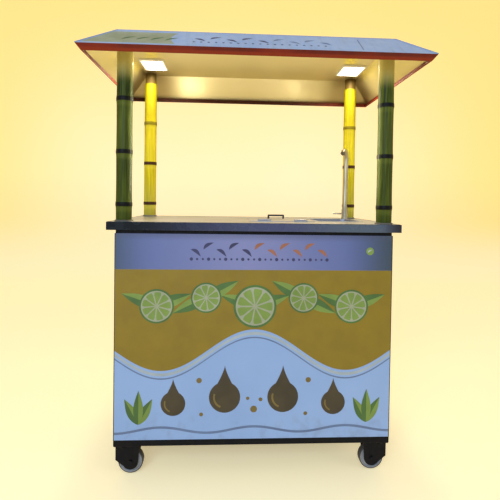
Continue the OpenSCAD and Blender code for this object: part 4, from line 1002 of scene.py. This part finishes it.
# print widened with painted shade: the olive patch runs out to the left hip, over the whole left end of
# the slope
roof.lay("olive_and_shade", [(-0.578, 0.138), (-0.325, 0.138)] + curve + [(-0.672, 0.014)], 1)
for k in range(4):
    roof.lay("leaf", leaf(-0.53 + 0.055 * k, 0.05, 0.06, 0.012, 35), 2)
for k in range(9):
    outline = leaf(-0.255 + 0.062 * k, 0.082, 0.05, 0.014, 30 if k % 2 else -30)
    roof.lay("navy" if k < 5 else "slate", outline, 1)
for k in range(19):
    roof.lay("navy", disc(-0.255 + 0.0285 * k, 0.046, 0.005, 16), 1)
roof.lay("slate", [(0.40, 0.135), (0.40, 0.02), (0.404, 0.02), (0.404, 0.135)], 1)
roof.done()

# %% [markdown]
# ## Fasteners
# Sheet is held to the frame with button-head screws, and each hinge leaf has its own. A
# screw could be one instance copied about, but joined into one mesh per body they stay a
# single piece each to count and to move. The head is turned on the lathe, with a round
# socket in the middle that catches a dark dot of shade.

# %% Screw heads
SIDE_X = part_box("side_panels")[1].x
REAR_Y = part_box("rear_panel")[1].y
LEAF_FACE = 0.3106
SHEET_SCREW, HINGE_SCREW = 0.0052, 0.0032
screw_steel = brushed_metal("screw_steel", (178, 178, 180), (120, 120, 124), 0.3, (90, 90, 90), 0.1)


def screw(shape, spot, axis, flip, radius):
    rise, sunk = 0.5 * radius, -0.0003
    head = [(0.0, rise * 0.35), (radius * 0.34, rise * 0.35), (radius * 0.38, rise),
            (radius * 0.62, rise * 0.96), (radius * 0.88, rise * 0.62), (radius, rise * 0.15),
            (radius, sunk), (0.0, sunk)]
    lathe(shape, head, spot, axis, 20, False, flip)


SIDE_ROWS, SIDE_COLUMNS = (0.182, 0.38, 0.58, 0.78, 0.966), (-0.286, 0.0, 0.286)
REAR_ROWS, REAR_COLUMNS = (0.668, 0.977), (-0.552, -0.28, 0.0, 0.28, 0.552)
HINGE_ROWS, HINGE_COLUMNS, LEAF_ROWS = (0.2225, 0.577), (-0.551, 0.551), (-0.02, 0.0, 0.02)
spots = []
for z in SIDE_ROWS:
    for y in SIDE_COLUMNS:
        if y != 0.0 or z in (SIDE_ROWS[0], SIDE_ROWS[-1]):
            spots += [((side * SIDE_X, y, z), "X", side, SHEET_SCREW) for side in (-1, 1)]
spots += [((x, REAR_Y, z), "Y", 1, SHEET_SCREW) for x in REAR_COLUMNS for z in REAR_ROWS]
spots += [((x, LEAF_FACE, z + rise), "Y", 1, HINGE_SCREW)
          for x in HINGE_COLUMNS for z in HINGE_ROWS for rise in LEAF_ROWS]
sheet_screws = bmesh.new()
for spot, axis, flip, radius in spots:
    screw(sheet_screws, spot, axis, flip, radius)
made("sheet_screws", sheet_screws, screw_steel)
print(len(spots), "screws set")

# %% [markdown]
# ## Round beads
# Sealant, piping and seams are all the same shape: a thin round bead along a line. A curve
# with a bevel would do, but a swept mesh exports as it is, closed at its ends. The helper
# carries a small circle along the points and turns it square to the path.

# %% Bead helper
def bead(shape, points, radius, closed=False, sides=8):
    points = [Vector(p) for p in points]
    turns = [math.tau * j / sides for j in range(sides)]
    rings = []
    for k, p in enumerate(points):
        before = points[k - 1] if k or closed else p
        after = points[(k + 1) % len(points)] if k + 1 < len(points) or closed else p
        along = (after - before).normalized()
        aside = Vector((0, 0, 1)) if abs(along.z) < 0.9 else Vector((1, 0, 0))
        across = along.cross(aside).normalized()
        up = across.cross(along)
        rings.append([shape.verts.new(p + radius * (math.cos(a) * across + math.sin(a) * up))
                      for a in turns])
    for a, b in zip(rings, rings[1:] + (rings[:1] if closed else [])):
        for j in range(sides):
            shape.faces.new((a[j], a[(j + 1) % sides], b[(j + 1) % sides], b[j]))
    if not closed:
        shape.faces.new(rings[0][::-1])
        shape.faces.new(rings[-1])


def straight(a, b, steps):
    return [a + (b - a) * k / steps for k in range(steps + 1)]


def round_corners(low, high, radius, steps=6):
    """Points round a rectangle with rounded corners, counter-clockwise."""
    points = []
    for k, (x, y) in enumerate(((high.x - radius, high.y - radius), (low.x + radius, high.y - radius),
                                (low.x + radius, low.y + radius), (high.x - radius, low.y + radius))):
        points += [(x + radius * math.cos(a), y + radius * math.sin(a))
                   for a in (math.pi / 2 * (k + j / steps) for j in range(steps + 1))]
    return points


print("bead helper ready")

# %% [markdown]
# ## Seams, seals and collars
# The roof sheets meet along four hips under a thin capping bead. The sink is bedded in
# clear sealant, each post stands in a grey collar, and the worktop meets its edge band in a
# fine dark line. A painted line would hint at such joints, but a bead stands proud and
# catches the light from every side. The collars are round, so the lathe turns them.

# %% Roof capping
HIP_BEAD, RIDGE_BEAD, BEAD_SUNK, EAVE_INSET = 0.0028, 0.0022, 0.0006, 0.001


def flat_corner(sx, sy):
    return Vector((sx * (TOP.x - RUN), sy * (TOP.y - RUN), TOP.z - BEAD_SUNK))


capping = bmesh.new()
for sx in (-1, 1):
    for sy in (-1, 1):
        eave = Vector((sx * (TOP.x - EAVE_INSET), sy * (TOP.y - EAVE_INSET), ROOF_LOW + EAVE_INSET))
        bead(capping, straight(eave, flat_corner(sx, sy), 6), HIP_BEAD)
ridge = [flat_corner(sx, sy) for sx, sy in ((-1, -1), (1, -1), (1, 1), (-1, 1))]
for a, b in zip(ridge, ridge[1:] + ridge[:1]):
    bead(capping, straight(a, b, 8), RIDGE_BEAD)
capping_finish = worn_paint("roof_capping", (150, 164, 190), (130, 144, 170), (90, 92, 96), 0.4)
made("roof_capping", capping, capping_finish)
print("capping laid on 4 hips and", len(ridge), "ridges")

# %% Sink seal, edge line and post collars
seal_finish = moulded_plastic("clear_sealant", (186, 184, 178), (160, 158, 150), 0.3)
BOWL_CORNER, BOWL_BEAD, BOWL_PROUD = 0.032, 0.0016, 0.0004
EDGE_CORNER, EDGE_BEAD, EDGE_SUNK = 0.004, 0.0011, 0.0002
seal = bmesh.new()
path = round_corners(*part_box("sink_bowl"), BOWL_CORNER)
bead(seal, [(x, y, COUNTER + BOWL_PROUD) for x, y in path], BOWL_BEAD, True)
made("sink_seal", seal, seal_finish)
line = bmesh.new()
path = round_corners(*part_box("countertop"), EDGE_CORNER, 3)
bead(line, [(x, y, COUNTER - EDGE_SUNK) for x, y in path], EDGE_BEAD, True)
made("edge_seal", line, finishes["control_black"])
collar_finish = moulded_plastic("collar_grey", (96, 90, 76), (80, 74, 62), 0.6)
COLLAR = [(0.0315, 0.0), (0.0372, 0.0), (0.0372, 0.0022), (0.0356, 0.0050), (0.0336, 0.0066),
          (0.0318, 0.0066)]
collars = bmesh.new()
for x in (-POST_X, POST_X):
    for y in (-POST_Y, POST_Y):
        lathe(collars, COLLAR, (x, y, COUNTER), "Z", 48, True)
made("post_collars", collars, collar_finish)
print("seals and collars laid")

# %% [markdown]
# ## Controls on the rear
# The operator stands behind the cart. The direction knob gets a white pointer, which rides
# on the knob and turns with it, and three plain marks round it on the panel. The stop button
# sits on the usual yellow disc. A thick plate there would stop the button short, so the disc
# is only a film, and the button can travel its full way.

# %% Pointer, marks, stop disc
low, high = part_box("direction_knob")
KNOB, GRIP_FACE = (low + high) / 2, high.y
low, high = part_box("stop_button")
STOP = (low + high) / 2
signal_white = moulded_plastic("signal_white", (226, 224, 216), (206, 204, 196), 0.4)
signal_yellow = worn_paint("signal_yellow", (214, 172, 22), (196, 152, 16), (120, 110, 80), 0.4, 0.3)
NEEDLE, MARK_HALF, FILM_LOW, FILM_HIGH = 0.0012, 0.0011, -0.0002, 0.0004
ARROW = [(-NEEDLE, 0.002), (NEEDLE, 0.002), (NEEDLE, 0.013), (0.0, 0.0145), (-NEEDLE, 0.013)]
MARK = [(0.026, -MARK_HALF), (0.034, -MARK_HALF), (0.034, MARK_HALF), (0.026, MARK_HALF)]
DISC = [(0.0125, -0.0002), (0.0300, -0.0002), (0.0300, 0.0001), (0.0299, 0.0002), (0.0125, 0.0002)]


def on_rear(u, v, height):
    return Vector((u, REAR_Y + height, v))


def on_knob(u, v, height):
    return Vector((u, GRIP_FACE + height, v))


pointer = bmesh.new()
slab(pointer, [(KNOB.x + x, KNOB.z + z) for x, z in ARROW], on_knob, FILM_LOW, FILM_HIGH)
made("knob_pointer", pointer, signal_white, "direction_knob")
marks = bmesh.new()
for degrees in (45, 90, 135):
    slab(marks, swung(MARK, KNOB.x, KNOB.z, degrees), on_rear, FILM_LOW, FILM_HIGH)
made("knob_marks", marks, signal_white)
disc_ring = bmesh.new()
lathe(disc_ring, DISC, (STOP.x, REAR_Y, STOP.z), "Y", 56, True)
made("stop_disc", disc_ring, signal_yellow)
print("knob at", round(KNOB.x, 3), "stop at", round(STOP.x, 3))

# %% [markdown]
# ## The motor's fan end and the door seals
# Behind the doors the motor shows its fan cowl, with ribs round the air inlet. They could be
# cut into the cowl, but turned rings set on its face leave the built piece as it is. Each
# door closes on a dark foam strip, glued to the inside of the door, so it rides on the door
# and opens with it.

# %% Cowl ribs and door seals
low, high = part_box("gear_motor")
COWL_X, SHAFT_Y, SHAFT_Z = low.x, (low.y + high.y) / 2, 0.853
RIB_FOOT, RIB_TOP, RIB_SUNK, RIB_RISE = 0.0022, 0.0014, 0.0004, 0.0024
ribs = bmesh.new()
for radius in (0.014, 0.024, 0.034, 0.044):
    rib = [(radius - RIB_FOOT, RIB_SUNK), (radius + RIB_FOOT, RIB_SUNK), (radius + RIB_TOP, -RIB_RISE),
           (radius - RIB_TOP, -RIB_RISE)]
    lathe(ribs, rib, (COWL_X, SHAFT_Y, SHAFT_Z), "X", 48, True)
made("cowl_ribs", ribs, finishes["control_black"])
foam = moulded_plastic("door_foam", (34, 33, 34), (24, 23, 25), 0.8)
HINGE_X, SEAL_INSET, SEAL_CORNER, SEAL_BEAD, SEAL_SUNK = 0.542, 0.036, 0.012, 0.0022, 0.0008
for name in ("door_left", "door_right"):
    low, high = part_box(name)
    near = Vector((max(low.x, -HINGE_X) + SEAL_INSET, low.z + SEAL_INSET, 0))
    far = Vector((min(high.x, HINGE_X) - SEAL_INSET, high.z - SEAL_INSET, 0))
    path = [(x, low.y - SEAL_SUNK, z) for x, z in round_corners(near, far, SEAL_CORNER)]
    strip = bmesh.new()
    bead(strip, path, SEAL_BEAD, True)
    made(name + "_seal", strip, foam, name)
print("motor and doors detailed")
